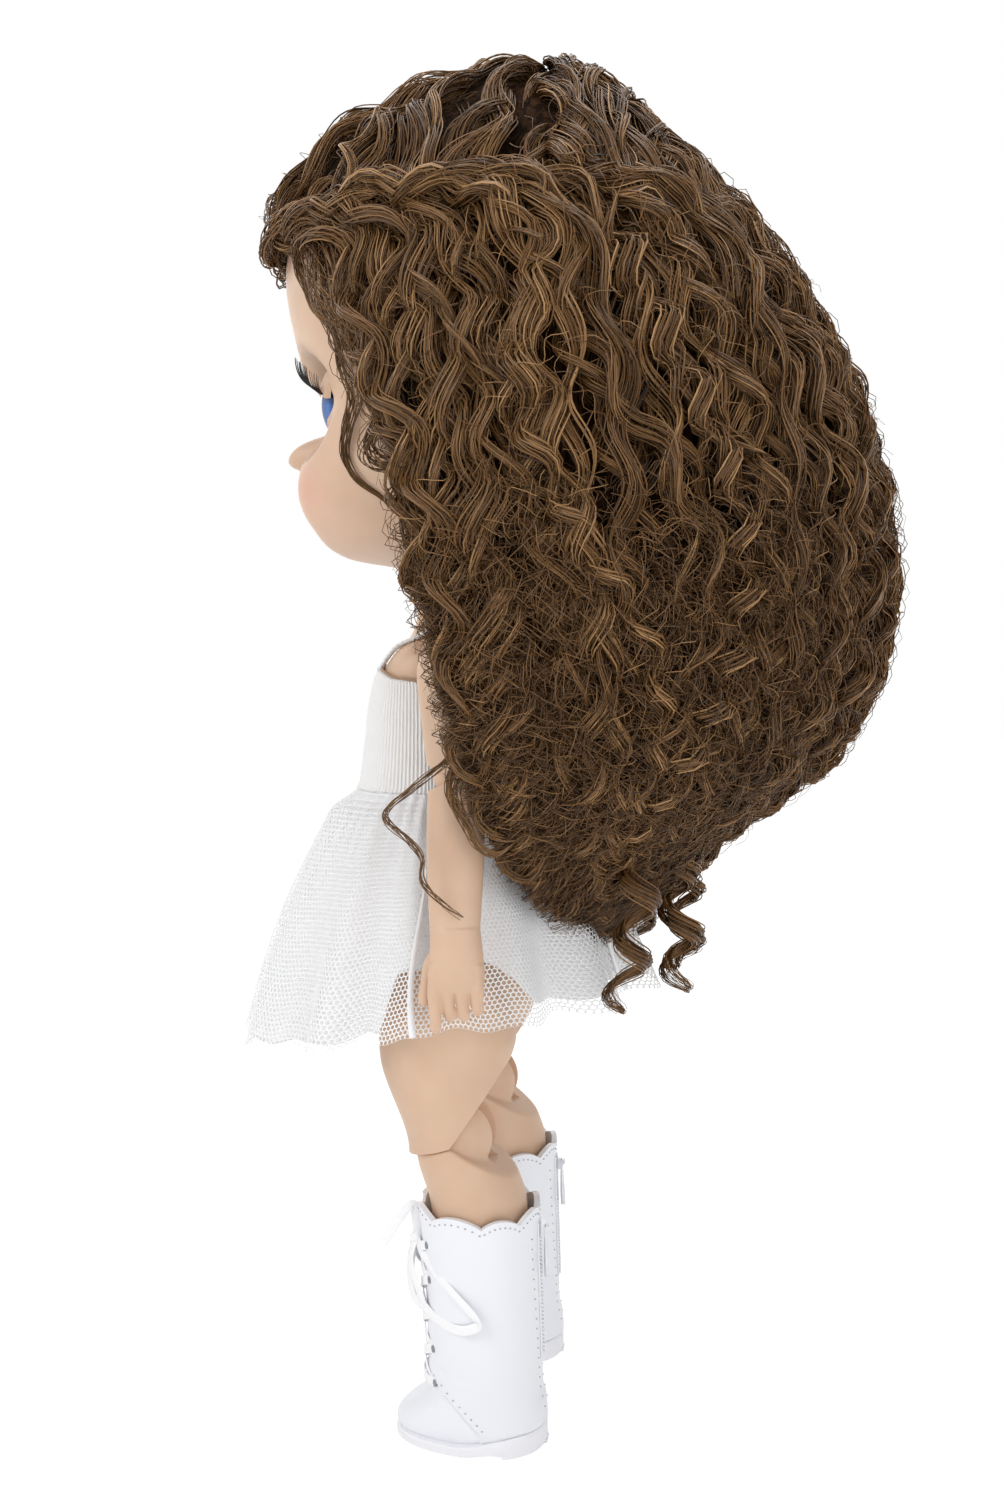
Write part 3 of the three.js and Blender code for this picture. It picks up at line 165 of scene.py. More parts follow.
def makeFloor(c):
    mesh = bpy.data.meshes.new("floor")
    h = c["halfSize"]
    mesh.from_pydata([(-h, -h, 0), (h, -h, 0), (h, h, 0), (-h, h, 0)], [], [(0, 1, 2, 3)])
    obj = bpy.data.objects.new("floor", mesh)
    obj.location.z = -c["drop"]
    bpy.context.collection.objects.link(obj)
    material = bpy.data.materials.new("floor")
    material.use_nodes = True
    tree = material.node_tree
    tree.nodes.clear()
    matt = addNode(tree, "BsdfDiffuse", {"Color": c["colour"]})
    glow = addNode(tree, "Emission", {"Color": (1, 1, 1, 1), "Strength": c["glow"]})
    share = addNode(tree, "Math", {0: plainRays(tree), 1: 1 - c["shadow"]}, operation="MULTIPLY")
    mix = addNode(tree, "MixShader", {0: share.outputs[0], 1: matt.outputs[0], 2: glow.outputs[0]})
    addNode(tree, "OutputMaterial", {"Surface": mix.outputs[0]})
    mesh.materials.append(material)


makeCamera(camera)
makeLight(lighting)
makeFloor(floor)
print("camera, light and floor are set")


# Numbers, rings and faces

def unit(v):
    return v / np.maximum(np.linalg.norm(v, axis=-1, keepdims=True), 1e-9)


# Angles of points evenly round a ring
def ringTurns(count):
    return np.arange(count) / count * 2 * np.pi


# Smooth step from 0 to 1 while t goes from 0 to 1
def eased(t):
    t = np.clip(t, 0, 1)
    return t * t * (3 - 2 * t)


# Smooth values at t from a table of rows [t, value, ...], for whole arrays of t
def tableAt(table, t):
    table = np.asarray(table, float)
    x, y = table[:, 0], table[:, 1:]
    last = len(x) - 1
    t = np.asarray(t, float)
    i = np.clip(np.searchsorted(x, t, side="right") - 1, 0, last - 1)
    before, after = np.maximum(i - 1, 0), np.minimum(i + 2, last)
    span = x[i + 1] - x[i]
    u = np.clip((t - x[i]) / span, 0, 1)[..., None]
    m1 = (y[i + 1] - y[before]) / (x[i + 1] - x[before])[..., None] * span[..., None]
    m2 = (y[after] - y[i]) / (x[after] - x[i])[..., None] * span[..., None]
    return ((2 * u**3 - 3 * u**2 + 1) * y[i] + (u**3 - 2 * u**2 + u) * m1
            + (3 * u**2 - 2 * u**3) * y[i + 1] + (u**3 - u**2) * m2)


# Directions round an oval whose corners get squarer as the power grows past 2
def ovalTurn(angle, power):
    c, s = np.cos(angle), np.sin(angle)
    stretch = (np.abs(c) ** power + np.abs(s) ** power) ** (-1 / power)
    return c, s, stretch


def ringPoints(x, y, z, halfWidth, front, rear, count, power=2.0):
    c, s, stretch = ovalTurn(ringTurns(count), power)
    across = x + halfWidth * c * stretch
    along = y + np.where(s < 0, front, rear) * s * stretch
    return np.stack([across, along, np.broadcast_to(float(z), count)], -1)


# Quads between neighbouring rings, rings x points, closed round each ring
def ringQuads(rings, count):
    i = np.arange(rings - 1)[:, None] * count
    j = np.arange(count)[None, :]
    k = (j + 1) % count
    return np.stack([i + j, i + k, i + k + count, i + j + count], -1).reshape(-1, 4)


# Points and quads of a wall: rings up its outside and down its inside, joined at both edges
def wallFaces(outer, inner):
    loop = np.concatenate([outer, inner[::-1]])
    rings, count = loop.shape[:2]
    last = (rings - 1) * count
    j = np.arange(count)
    k = (j + 1) % count
    quads = np.concatenate([ringQuads(rings, count), np.stack([last + j, last + k, k, j], -1)])
    return loop.reshape(-1, 3), quads


def closedLoft(rings):
    rings = np.asarray(rings, float)
    steps, count = rings.shape[:2]
    faces = ringQuads(steps, count).tolist()
    low, high, last = steps * count, steps * count + 1, (steps - 1) * count
    for j in range(count):
        k = (j + 1) % count
        faces.append([low, k, j])
        faces.append([high, last + j, last + k])
    points = np.concatenate([rings.reshape(-1, 3), rings[:1].mean(1), rings[-1:].mean(1)])
    return points, faces


# Many closed lofts as one set of points and faces
def gathered(lofts):
    points, faces, offset = [], [], 0
    for p, f in lofts:
        points.append(p)
        faces.extend([[i + offset for i in face] for face in f])
        offset += len(p)
    return np.concatenate(points), faces


# A smooth line through points, evenly cut into steps
def smoothLine(points, steps):
    points = np.asarray(points, float)
    t = np.concatenate([[0], np.cumsum(np.linalg.norm(np.diff(points, axis=0), axis=1) ** 0.5)])
    return tableAt(np.column_stack([t, points]), np.linspace(0, t[-1], steps))


# Rings of a swept section: section points (a, b) are laid along "side" and "up" at each step of the line
def swept(line, section, side, scale=None):
    line = np.asarray(line, float)
    along = unit(np.gradient(line, axis=0))
    side = np.broadcast_to(np.asarray(side, float), line.shape)
    side = unit(side - (side * along).sum(-1, keepdims=True) * along)
    up = np.cross(side, along)
    section = np.asarray(section, float)
    scale = np.ones(len(line)) if scale is None else np.asarray(scale, float)
    return (line[:, None] + scale[:, None, None]
            * (section[None, :, :1] * side[:, None] + section[None, :, 1:] * up[:, None]))


def circleSection(radius, count=12):
    angle = ringTurns(count)
    return np.column_stack([radius * np.cos(angle), radius * np.sin(angle)])


# Named pieces

# A mesh object from points in mm in the doll's own coordinates, and quads or a list of faces
def pieceFrom(name, points, faces, material, body, slot, tone=None, chartUv=None):
    points = np.asarray(points, float) + (0, figureShift, 0)
    mesh = bpy.data.meshes.new(name)
    if isinstance(faces, np.ndarray):
        count, corners = faces.shape
        mesh.vertices.add(len(points))
        mesh.vertices.foreach_set("co", (points * mm).ravel())
        mesh.loops.add(count * corners)
        mesh.loops.foreach_set("vertex_index", faces.ravel().astype(np.int32))
        mesh.polygons.add(count)
        mesh.polygons.foreach_set("loop_start", np.arange(0, count * corners, corners, dtype=np.int32))
        mesh.update(calc_edges=True)
    else:
        mesh.from_pydata((points * mm).tolist(), [], [tuple(int(i) for i in f) for f in faces])
    if tone is not None:
        mesh.attributes.new("tone", "FLOAT", "POINT").data.foreach_set("value", np.asarray(tone, np.float32))
    if chartUv is not None:
        mesh.uv_layers.new(name="OFBake").data.foreach_set("uv", chartUv.astype(np.float32).ravel())
    mesh.shade_smooth()
    mesh.validate()
    mesh.materials.append(material)
    obj = bpy.data.objects.new(name, mesh)
    bpy.context.collection.objects.link(obj)
    if body:
        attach(obj, body)
    return obj


# Turns a finished form into a named piece of the part
def dress(form, name, material, body, nodes, sharp=38, attributes=None):
    form.name = name
    mesh = form.data
    mesh.name = name
    mesh.transform(Matrix.Translation((0, figureShift * mm, 0)))
    mesh.materials.clear()
    mesh.materials.append(material)
    mesh.shade_smooth()
    mesh.set_sharp_from_angle(angle=math.radians(sharp))
    for key, values in (attributes or {}).items():
        mesh.attributes.new(key, "FLOAT", "POINT").data.foreach_set("value", np.asarray(values, np.float32))
    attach(form, body)
    for node in [nodes] if isinstance(nodes, str) else nodes:
        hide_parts(node)
    return form


def vertexPlaces(form):
    places = np.empty(len(form.data.vertices) * 3)
    form.data.vertices.foreach_get("co", places)
    return places.reshape(-1, 3) / mm


def mirroredCopy(form):
    twin = bpy.data.objects.new(form.name, form.data.copy())
    twin.data.transform(Matrix.Scale(-1, 4, (1, 0, 0)))
    twin.data.flip_normals()
    bpy.context.collection.objects.link(twin)
    return twin


# Closed forms, and joins and cuts of whole bodies

def formFrom(points, faces):
    mesh = bpy.data.meshes.new("form")
    mesh.from_pydata((np.asarray(points) * mm).tolist(), [], faces)
    turned = bmesh.new()
    turned.from_mesh(mesh)
    bmesh.ops.recalc_face_normals(turned, faces=turned.faces)
    turned.to_mesh(mesh)
    turned.free()
    form = bpy.data.objects.new("form", mesh)
    bpy.context.collection.objects.link(form)
    return form


def evaluated(form):
    bpy.context.view_layer.update()
    done = bpy.data.meshes.new_from_object(form.evaluated_get(bpy.context.evaluated_depsgraph_get()))
    form.modifiers.clear()
    old, form.data = form.data, done
    bpy.data.meshes.remove(old)
    return form


def combine(form, operation, *others):
    for other in others:
        step = form.modifiers.new("step", "BOOLEAN")
        step.operation, step.object, step.solver = operation, other, "MANIFOLD"
    evaluated(form)
    for other in others:
        data = other.data
        bpy.data.objects.remove(other)
        bpy.data.meshes.remove(data)
    return form


def joined(form, *others):
    return combine(form, "UNION", *others)


def cut(form, *others):
    return combine(form, "DIFFERENCE", *others)


# One even skin over a joined form, then softened
def remeshed(form, size, rounds):
    step = form.modifiers.new("step", "REMESH")
    step.mode, step.voxel_size = "VOXEL", size * mm
    soft = form.modifiers.new("soft", "SMOOTH")
    soft.factor, soft.iterations = 0.5, rounds
    return evaluated(form)


def loftForm(rings):
    return formFrom(*closedLoft(rings))


def ballForm(radius, x, y, z, count=56):
    lat = np.linspace(-np.pi / 2 + 0.03, np.pi / 2 - 0.03, count // 2)
    rings = [ringPoints(x, y, z + radius * math.sin(a), *[radius * math.cos(a)] * 3, count) for a in lat]
    return loftForm(rings)


def rodForm(start, end, radius, endRadius=None, sides=36):
    start, end = np.asarray(start, float), np.asarray(end, float)
    along = unit(end - start)
    side = unit(np.cross(along, (0.3, 0.5, 0.81) if abs(along[1]) > 0.9 else (0, 1, 0)))
    up = np.cross(side, along)
    angle = ringTurns(sides)
    circle = np.cos(angle)[:, None] * side + np.sin(angle)[:, None] * up
    endRadius = radius if endRadius is None else endRadius
    return loftForm([start + circle * radius, end + circle * endRadius])


# A bar across X from x0 to x1 with the outline's points (y, z)
def acrossForm(outline, x0, x1):
    outline = np.asarray(outline, float)
    rings = [np.column_stack([np.full(len(outline), x), outline]) for x in (x0, x1)]
    return loftForm(rings)


def blockForm(x0, x1, y0, y1, z0, z1):
    return acrossForm([(y0, z0), (y1, z0), (y1, z1), (y0, z1)], x0, x1)


# A wedge across X that opens from a hinge point between two angles
def wedgeForm(y, z, fromAngle, toAngle, reach=60):
    corners = [(y + reach * math.cos(a), z + reach * math.sin(a))
               for a in (fromAngle, (fromAngle + toAngle) / 2, toAngle)]
    return acrossForm([(y, z), *corners], -120, 120)


# A stack of level ovals from rows [x, y, z, halfWidth, halfDepth], lowest first
def limbForm(rows, count=72, steps=64):
    table = [[z, x, y, w, d] for x, y, z, w, d in rows]
    heights = np.linspace(table[0][0], table[-1][0], steps)
    at = tableAt(table, heights)
    return loftForm([ringPoints(x, y, z, w, d, d, count) for z, (x, y, w, d) in zip(heights, at)])


# Skin, plastic and metal

# Fine relief from noise at that scale; gives back the noise for a colour to follow
def noiseBump(tree, shader, scale, strength, distance=0.0002):
    place = addNode(tree, "TexCoord")
    grain = addNode(tree, "TexNoise", {"Vector": place.outputs["Object"], "Scale": scale, "Detail": 2.0})
    bump = addNode(tree, "Bump", {"Strength": strength, "Distance": distance, "Height": grain.outputs["Fac"]})
    tree.links.new(bump.outputs["Normal"], shader.inputs["Normal"])
    return grain.outputs["Fac"]


# One colour under a fine grain
def grained(name, colour, roughness, scale, bump, distance, **sockets):
    material, tree, shader = newMaterial(name, colour, roughness, **sockets)
    noiseBump(tree, shader, scale, bump, distance)
    return material


# A colour that wanders a little between two tones
def mottled(name, dark, light, roughness, scale, bump, **sockets):
    material, tree, shader = newMaterial(name, light, roughness, **sockets)
    colour = addRamp(tree, noiseBump(tree, shader, scale, bump), [(0.3, dark), (0.7, light)])
    tree.links.new(colour, shader.inputs["Base Color"])
    return material


# Lays a painted colour over what already feeds the shader, as strong as a point attribute says
def paintOver(material, attribute, colour, strength):
    tree = material.node_tree
    shader = tree.nodes["Principled BSDF"]
    under = shader.inputs["Base Color"].links[0].from_socket
    mask = attributeNode(tree, attribute)
    level = addNode(tree, "Math", {0: mask.outputs["Fac"], 1: strength}, operation="MULTIPLY")
    mix = addNode(tree, "Mix", data_type="RGBA")
    mix.inputs["B"].default_value = (*linear(*colour), 1)
    tree.links.new(level.outputs[0], mix.inputs["Factor"])
    tree.links.new(under, mix.inputs["A"])
    tree.links.new(mix.outputs["Result"], shader.inputs["Base Color"])


paints = {
    "skin": ((206, 172, 145), (213, 181, 154)), "ivory": ((226, 222, 212), (234, 231, 222)),
    "steel": ((168, 170, 174), (188, 190, 194)),
    "face": [  # point attribute, colour, strength
        ("blush", (218, 152, 132), 0.42), ("lips", (198, 128, 114), 0.85), ("lidShade", (186, 142, 118), 0.5),
        ("brow", (150, 106, 76), 0.7), ("hairRoots", (54, 36, 21), 0.92),
    ],
}
softVinyl = {
    "roughness": 0.48, "scale": 90, "bump": 0.04, "Subsurface_Weight": 0.08, "Subsurface_Scale": 0.002,
}
skinVinyl = mottled("skinVinyl", *paints["skin"], **softVinyl)
paintedSkin = mottled("paintedSkin", *paints["skin"], **softVinyl)
for painted in paints["face"]:
    paintOver(paintedSkin, *painted)
ivoryPlastic = mottled("ivoryPlastic", *paints["ivory"], 0.4, 60, 0.03)
brightSteel = mottled("brightSteel", *paints["steel"], 0.28, 300, 0.05, Metallic=1.0)


# Head

head = {
    "chin": 187, "height": 94, "y": -3, "halfWidth": 46, "faceReach": 43.5, "napeReach": 43, "wall": 2.4,
    "splitY": -2, "scalp": 258, "hairline": 252.4,
    "form": [  # height share, half-width share, front share, rear share
        [0, 0.3, 0.5, 0.3], [0.021, 0.55, 0.74, 0.5], [0.064, 0.69, 0.875, 0.6], [0.16, 0.85, 0.94, 0.75],
        [0.266, 0.945, 0.905, 0.86], [0.34, 0.98, 0.875, 0.92], [0.457, 1, 0.93, 0.98], [0.628, 0.985, 1, 1],
        [0.734, 0.93, 0.965, 0.95], [0.82, 0.82, 0.86, 0.84], [0.897, 0.64, 0.67, 0.67],
        [0.957, 0.41, 0.43, 0.44], [1, 0.1, 0.1, 0.1],
    ],
    "nose": {"out": 5.9, "z": 211.8, "halfWidth": 3.9, "rise": 4.7, "drop": 3.7, "bridge": 0.5},
    "cheek": {"out": 1, "x": 16, "z": 201, "spread": 9},
    "lips": {
        "out": 0.9, "z": 193.6, "half": 5, "recess": 1.5, "parting": 0.5, "groove": 0.3,
        "upperHeight": 1.9, "upperHalf": 5.2, "lowerHeight": 2.2, "lowerHalf": 4.5, "bow": 0.5, "corner": 4.8,
    },
    "eyeBand": {"depth": 3.9, "z": 218.5, "above": 7, "below": 5.5, "edge": 36, "fade": 14},
    "neckHole": {"y": -12, "low": 180, "high": 196, "radius": 4.95},
    "brow": {"z": 231.8, "peak": 14, "inner": 7.5, "outer": 30, "half": 1.2, "hairs": 6},
    "blush": {"x": 19, "z": 201.5, "width": 8, "height": 6.5},
}
eye = {
    "x": 18.6, "y": -22.5, "z": 219, "radius": 12, "openZ": 218.7, "openHalfWidth": 9.2,
    "openHalfHeight": 7.8, "innerFlat": 10, "cornea": 0.9, "lidArch": 13.6, "lidTop": 222.2,
    "lidThick": 1.1, "lidHalf": 8.8, "room": 0.7, "look": (0.06, -1, -0.05), "irisTurn": 1.25,
    "domeTurn": 0.72, "shadow": 0.85, "shadowDepth": 2.6,
    "whites": (230, 230, 230), "lidShadow": (20, 18, 26), "ink": ((14, 11, 10), (24, 19, 17)),
    "paint": [  # share of the way from the pupil's middle to the rim, and the colour there
        (0.0, (6, 6, 9)), (0.25, (8, 8, 12)), (0.28, (31, 58, 116)), (0.47, (76, 122, 190)),
        (0.58, (34, 66, 132)), (0.63, (16, 26, 52)), (0.66, (232, 232, 234)), (1.0, (238, 236, 236)),
    ],
}


def hill(x, z, centreX, centreZ, spreadX, spreadZ):
    return np.exp(-((x - centreX) / spreadX) ** 2 - ((z - centreZ) / spreadZ) ** 2)


# Distance inside the lips' outline, in mm, above and below the line where they meet
def lipEdges(x, z):
    m = head["lips"]
    rise = z - m["z"]
    upper = m["upperHeight"] * np.sqrt(np.clip(1 - (x / m["upperHalf"]) ** 2, 0, 1))
    upper -= m["bow"] * np.exp(-x**2)
    lower = m["lowerHeight"] * np.sqrt(np.clip(1 - (x / m["lowerHalf"]) ** 2, 0, 1))
    beyond = 2 * np.clip(np.abs(x) - m["corner"], 0, None)
    return upper - rise - beyond, rise + lower - beyond


# How far the features stand out from the plain head, in mm
def faceRelief(x, z):
    n, c, m, e = head["nose"], head["cheek"], head["lips"], head["eyeBand"]
    wide = np.abs(x)
    high = (z - n["z"]) / np.where(z > n["z"], n["rise"], n["drop"])
    relief = n["out"] * np.clip(1 - ((x / n["halfWidth"]) ** 2 + high**2) ** 1.5, 0, 1) ** 0.9
    relief += n["bridge"] * hill(x, z, 0, n["z"] + 2, 4.5, 6)
    relief += c["out"] * hill(wide, z, c["x"], c["z"], c["spread"], c["spread"] * 0.8)
    above, below = lipEdges(x, z)
    relief += m["out"] * np.clip(np.minimum(above, below) / 1.6, 0, 1) ** 0.6
    partingZ = m["z"] + 0.12 * np.cos(x * 1.4)
    relief -= m["parting"] * np.exp(-(x / (m["half"] * 1.05)) ** 4 - ((z - partingZ) / 0.4) ** 2)
    relief -= m["recess"] * hill(x, z, 0, m["z"], 10, 4.5)
    off = (z - e["z"]) / np.where(z > e["z"], e["above"], e["below"])
    relief -= e["depth"] * np.exp(-off**2) * np.clip((e["edge"] - wide) / e["fade"], 0, 1)
    return relief - m["groove"] * hill(x, z, 0, m["z"] + 5, 1.1, 2.2)


# 1 at the edge of the eye's opening, less inside it and more outside it
def openingShare(x, z):
    return np.hypot((np.abs(x) - eye["x"]) / eye["openHalfWidth"], (z - eye["openZ"]) / eye["openHalfHeight"])


# 1 inside the eye opening, falling to 0 where the socket ends
def socketShare(x, z):
    return eased((1.5 - openingShare(x, z)) / 0.42)


def lidFront(x, z):
    level = (eye["radius"] + 1.3) ** 2 - (np.abs(x) - eye["x"]) ** 2 - (z - eye["z"]) ** 2
    return eye["y"] - np.sqrt(np.maximum(level, 60))


# The head's skin, or the same form "inset" further in
def headForm(inset, steps, count):
    share = (1 - np.cos(np.pi * np.linspace(0, 1, steps))) / 2
    lidInset = min(inset, 1.3)
    rings = []
    for s, (w, f, r) in zip(share, tableAt(head["form"], share)):
        z = head["chin"] + inset + s * (head["height"] - 2 * inset)
        reach = [max(v * size - inset, 1) for v, size in
                 ((w, head["halfWidth"]), (f, head["faceReach"]), (r, head["napeReach"]))]
        ring = ringPoints(0, head["y"], z, *reach, count)
        x = ring[:, 0]
        pushed = ring[:, 1] - faceRelief(x, z) * np.clip((head["y"] - ring[:, 1]) / 6, 0, 1)
        socket = socketShare(x, z)
        pushed = pushed * (1 - socket) + np.maximum(pushed, lidFront(x, z) + lidInset) * socket
        ring[:, 1] = np.where(ring[:, 1] < head["y"], pushed, ring[:, 1])
        rings.append(ring)
    return loftForm(rings)


def browLine(x):
    b = head["brow"]
    past = np.abs(x) - b["peak"]
    return b["z"] - np.where(past > 0, 5.2 * (past / 15) ** 2, 1.6 * (past / 7) ** 2)


# How strongly each place on the face is painted, one value for each point
def faceMarks(x, y, z):
    b, c = head["brow"], head["blush"]
    wide, front = np.abs(x), y < -20
    brow = np.exp(-(((z - browLine(x)) / b["half"]) ** 2))
    brow *= np.clip((wide - b["inner"]) / 3, 0, 1) * np.clip((b["outer"] - wide) / 8, 0, 1)
    brow *= 0.75 + 0.25 * np.sin(wide * b["hairs"] + z * 3)
    lips = np.clip(np.minimum(*lipEdges(x, z)) / 0.4 + 0.3, 0, 1)
    blush = hill(wide, z, c["x"], c["z"], c["width"], c["height"])
    lid = np.clip(1.16 - openingShare(x, z), 0, 0.14) / 0.14 * np.clip((z - eye["z"] + 1) / 4, 0, 1)
    roots = np.clip((z - head["hairline"]) / 1.5, 0, 1)
    return {"brow": brow * front, "lips": lips * front, "blush": blush * front, "lidShade": lid * front,
            "hairRoots": roots}


def buildFace():
    form = headForm(0, 230, 420)
    openings = []
    angle = ringTurns(96)
    for side in (1, -1):
        wide = side * eye["x"] + eye["openHalfWidth"] * np.cos(angle)
        tall = eye["openZ"] + eye["openHalfHeight"] * np.sin(angle) * (1 - 0.1 * np.cos(angle * 2))
        rim = np.column_stack([wide, np.zeros(96), tall])
        openings.append(loftForm([rim + (0, y, 0) for y in (-60, -8)]))
        openings.append(ballForm(eye["radius"] + eye["room"], side * eye["x"], eye["y"], eye["z"]))
    hollow = headForm(head["wall"], 150, 240)
    hole = head["neckHole"]
    neckHole = rodForm((0, hole["y"], hole["low"]), (0, hole["y"], hole["high"]), hole["radius"])
    cut(form, hollow, neckHole, *openings)
    combine(form, "INTERSECT", blockForm(-70, 70, -80, head["splitY"], 180, head["scalp"]))
    marks = faceMarks(*vertexPlaces(form).T)
    dress(form, "faceShell", paintedSkin, "head", "face_shell", attributes=marks)


# Eyes: iris, pupil and white come from how far a point is from the eye's axis

def eyeMaterial(c):
    material, tree, shader = newMaterial("eyePaint", c["whites"], 0.08, Specular_IOR_Level=0.3)
    axis = attributeNode(tree, "axisAway")
    rays = attributeNode(tree, "axisTurn")
    streak = addNode(tree, "TexNoise", {"Vector": rays.outputs["Vector"], "Scale": 9})
    streaked = {0: streak.outputs["Fac"], 1: 0.1, 2: axis.outputs["Fac"]}
    spread = addNode(tree, "Math", streaked, operation="MULTIPLY_ADD")
    shift = addNode(tree, "Math", {0: spread.outputs[0], 1: 0.05}, operation="SUBTRACT")
    mix = addNode(tree, "Mix", data_type="RGBA")
    mix.inputs["B"].default_value = (*linear(*c["lidShadow"]), 1)
    tree.links.new(attributeNode(tree, "lidShadow").outputs["Fac"], mix.inputs["Factor"])
    tree.links.new(addRamp(tree, shift.outputs[0], c["paint"]), mix.inputs["A"])
    tree.links.new(mix.outputs["Result"], shader.inputs["Base Color"])
    return material


def buildEyes(c):
    paintedEye = eyeMaterial(c)
    lashInk = mottled("lashInk", *c["ink"], 0.5, 200, 0.05)
    for name, side in sideSigns.items():
        x0, y0, z0 = side * c["x"], c["y"], c["z"]
        ball = ballForm(c["radius"], x0, y0, z0, 128)
        inner = c["x"] - c["innerFlat"]
        cut(ball, blockForm(*sorted((side * inner, -side * 60)), -60, 20, 180, 260))
        p = vertexPlaces(ball) - (x0, y0, z0)
        look = unit(np.array(c["look"]) * (side, 1, 1))
        off = unit(p)
        turn = np.arccos(np.clip(off @ look, -1, 1))
        away = turn / c["irisTurn"]
        flatTurn = np.arctan2(p[:, 2], p[:, 0])
        rays = np.column_stack([np.cos(flatTurn), np.sin(flatTurn), away * 0.3]) * 3
        # the clear dome over the iris, and the painted shadow that the lid casts on the eye
        dome = p + off * (c["cornea"] * np.clip(1 - (turn / c["domeTurn"]) ** 2, 0, 1))[:, None]
        ball.data.vertices.foreach_set("co", ((dome + (x0, y0, z0)) * mm).astype(np.float32).ravel())
        archZ = c["lidTop"] - c["lidArch"]
        edge = archZ + np.sqrt(np.maximum(c["lidArch"] ** 2 - p[:, 0] ** 2, 0)) - z0
        shadow = np.clip((p[:, 2] - edge + c["shadowDepth"]) / c["shadowDepth"], 0, 1) * c["shadow"]
        turns = ball.data.attributes.new("axisTurn", "FLOAT_VECTOR", "POINT")
        turns.data.foreach_set("vector", rays.astype(np.float32).ravel())
        title = name.capitalize()
        dress(ball, f"eye{title}", paintedEye, "eyes", f"eye_{name}",
              attributes={"axisAway": away, "lidShadow": shadow})
        arch = rodForm((x0, -60, archZ), (x0, 0, archZ), c["lidArch"])
        outer, inner = c["radius"] + c["lidThick"] + 0.2, c["radius"] + 0.45
        lid = cut(ballForm(outer, x0, y0, z0, 110), ballForm(inner, x0, y0, z0, 90), arch)
        half = c["lidHalf"]
        combine(lid, "INTERSECT", blockForm(x0 - half, x0 + half, y0 - 20, y0 - 2, z0 - 4, z0 + 30))
        dress(lid, f"eyelid{title}", skinVinyl, "eyes", f"eyelid_{name}")
        buildLashes(lashes, title, name, side, lashInk)


lashes = {"count": 42, "out": 5.0, "up": 6.0, "spread": 0.62, "fan": 0.4, "radius": 0.19, "steps": 12}


def buildLashes(c, title, name, side, material):
    local = np.random.default_rng(5)
    lofts = []
    reach = eye["radius"] + eye["lidThick"]
    t = np.linspace(0, 1, c["steps"])
    for i in range(c["count"]):
        turn = (2 * i / (c["count"] - 1) - 1) * c["spread"] + local.normal(0, 0.01)
        x = reach * math.sin(turn)
        rootZ = eye["lidTop"] - eye["lidArch"] + math.sqrt(eye["lidArch"] ** 2 - x**2)
        y = -math.sqrt(reach**2 - x**2 - (rootZ - eye["z"]) ** 2)
        size = (0.78 + 0.22 * math.cos(turn * 2)) * local.uniform(0.88, 1.08)
        out = c["out"] * size * np.sin(t * np.pi / 2) ** 1.2
        way = turn * (1 + c["fan"]) + local.normal(0, 0.03)
        line = np.column_stack([side * eye["x"] + x + out * math.sin(way), eye["y"] + y - out * math.cos(way),
                                rootZ + 0.15 + c["up"] * size * t**2.1])
        section = circleSection(c["radius"], 6)
        lofts.append(closedLoft(swept(line, section, (1, 0, 0), scale=1.1 - 0.9 * t)))
    form = formFrom(*gathered(lofts))
    dress(form, f"lashes{title}", material, "eyes", f"lashes_{name}")


buildFace()
buildEyes(eye)
print("face and eyes are shaped")


# Torso and neck

torso = {
    "y": -14, "halfWidth": 17.6, "halfDepth": 13.4, "low": 96, "top": 183, "splitY": -12, "wall": 1.8,
    "power": 2.2,
    "form": [  # height share, half-width share, front share, rear share
        [0, 0.2, 0.4, 0.4], [0.06, 0.24, 0.72, 0.7], [0.16, 0.95, 1, 1.08], [0.26, 1.2, 1.26, 1.16],
        [0.36, 1.1, 1.32, 1.05], [0.47, 0.97, 1.24, 0.92], [0.6, 0.97, 1.12, 0.9], [0.7, 1, 1.04, 0.92],
        [0.78, 1.1, 0.88, 0.88], [0.83, 1, 0.66, 0.76], [0.87, 0.52, 0.46, 0.64], [0.92, 0.37, 0.36, 0.6],
        [1, 0.35, 0.34, 0.58],
    ],
    "least": 1.34, "screws": (126, 156), "postRadius": 3, "postSink": 0.9,
    "screwHole": 1.18, "screwHead": 2.55, "headDepth": 0.75, "armGap": (-26, 10, 154, 183),
}
hip = {"x": 16.8, "y": -12, "z": 109, "radius": 12, "room": 0.7, "swing": 14.3}
shoulder = {"x": 26, "y": -8, "z": 163.5, "radius": 6, "cutX": 19.6}
neck = {
    "y": -12, "z": 181, "ball": 5.6, "room": 0.35, "points": 72, "lowest": -np.pi / 2 + 0.05, "highest": 0.55,
    "neckUp": 0.35, "post": [  # radius and height of the post and its flange
        (4.6, 189.7), (4.65, 189.75), (7.9, 189.75), (8, 189.85), (8, 192.05), (7.9, 192.15),
    ],
}
link = {"rod": 1.6, "ball": 3, "clearance": 1}
seatGap = 0.35
far = 60  # a cut that leaves the part reaches this far


def torsoSizes(z, inset=0.0):
    share = (np.asarray(z, float) - torso["low"]) / (torso["top"] - torso["low"])
    form = tableAt(torso["form"], np.clip(share, 0, 1))
    return [np.maximum(form[..., k] * size - inset, torso["least"]) for k, size in
            enumerate((torso["halfWidth"], torso["halfDepth"], torso["halfDepth"]))]


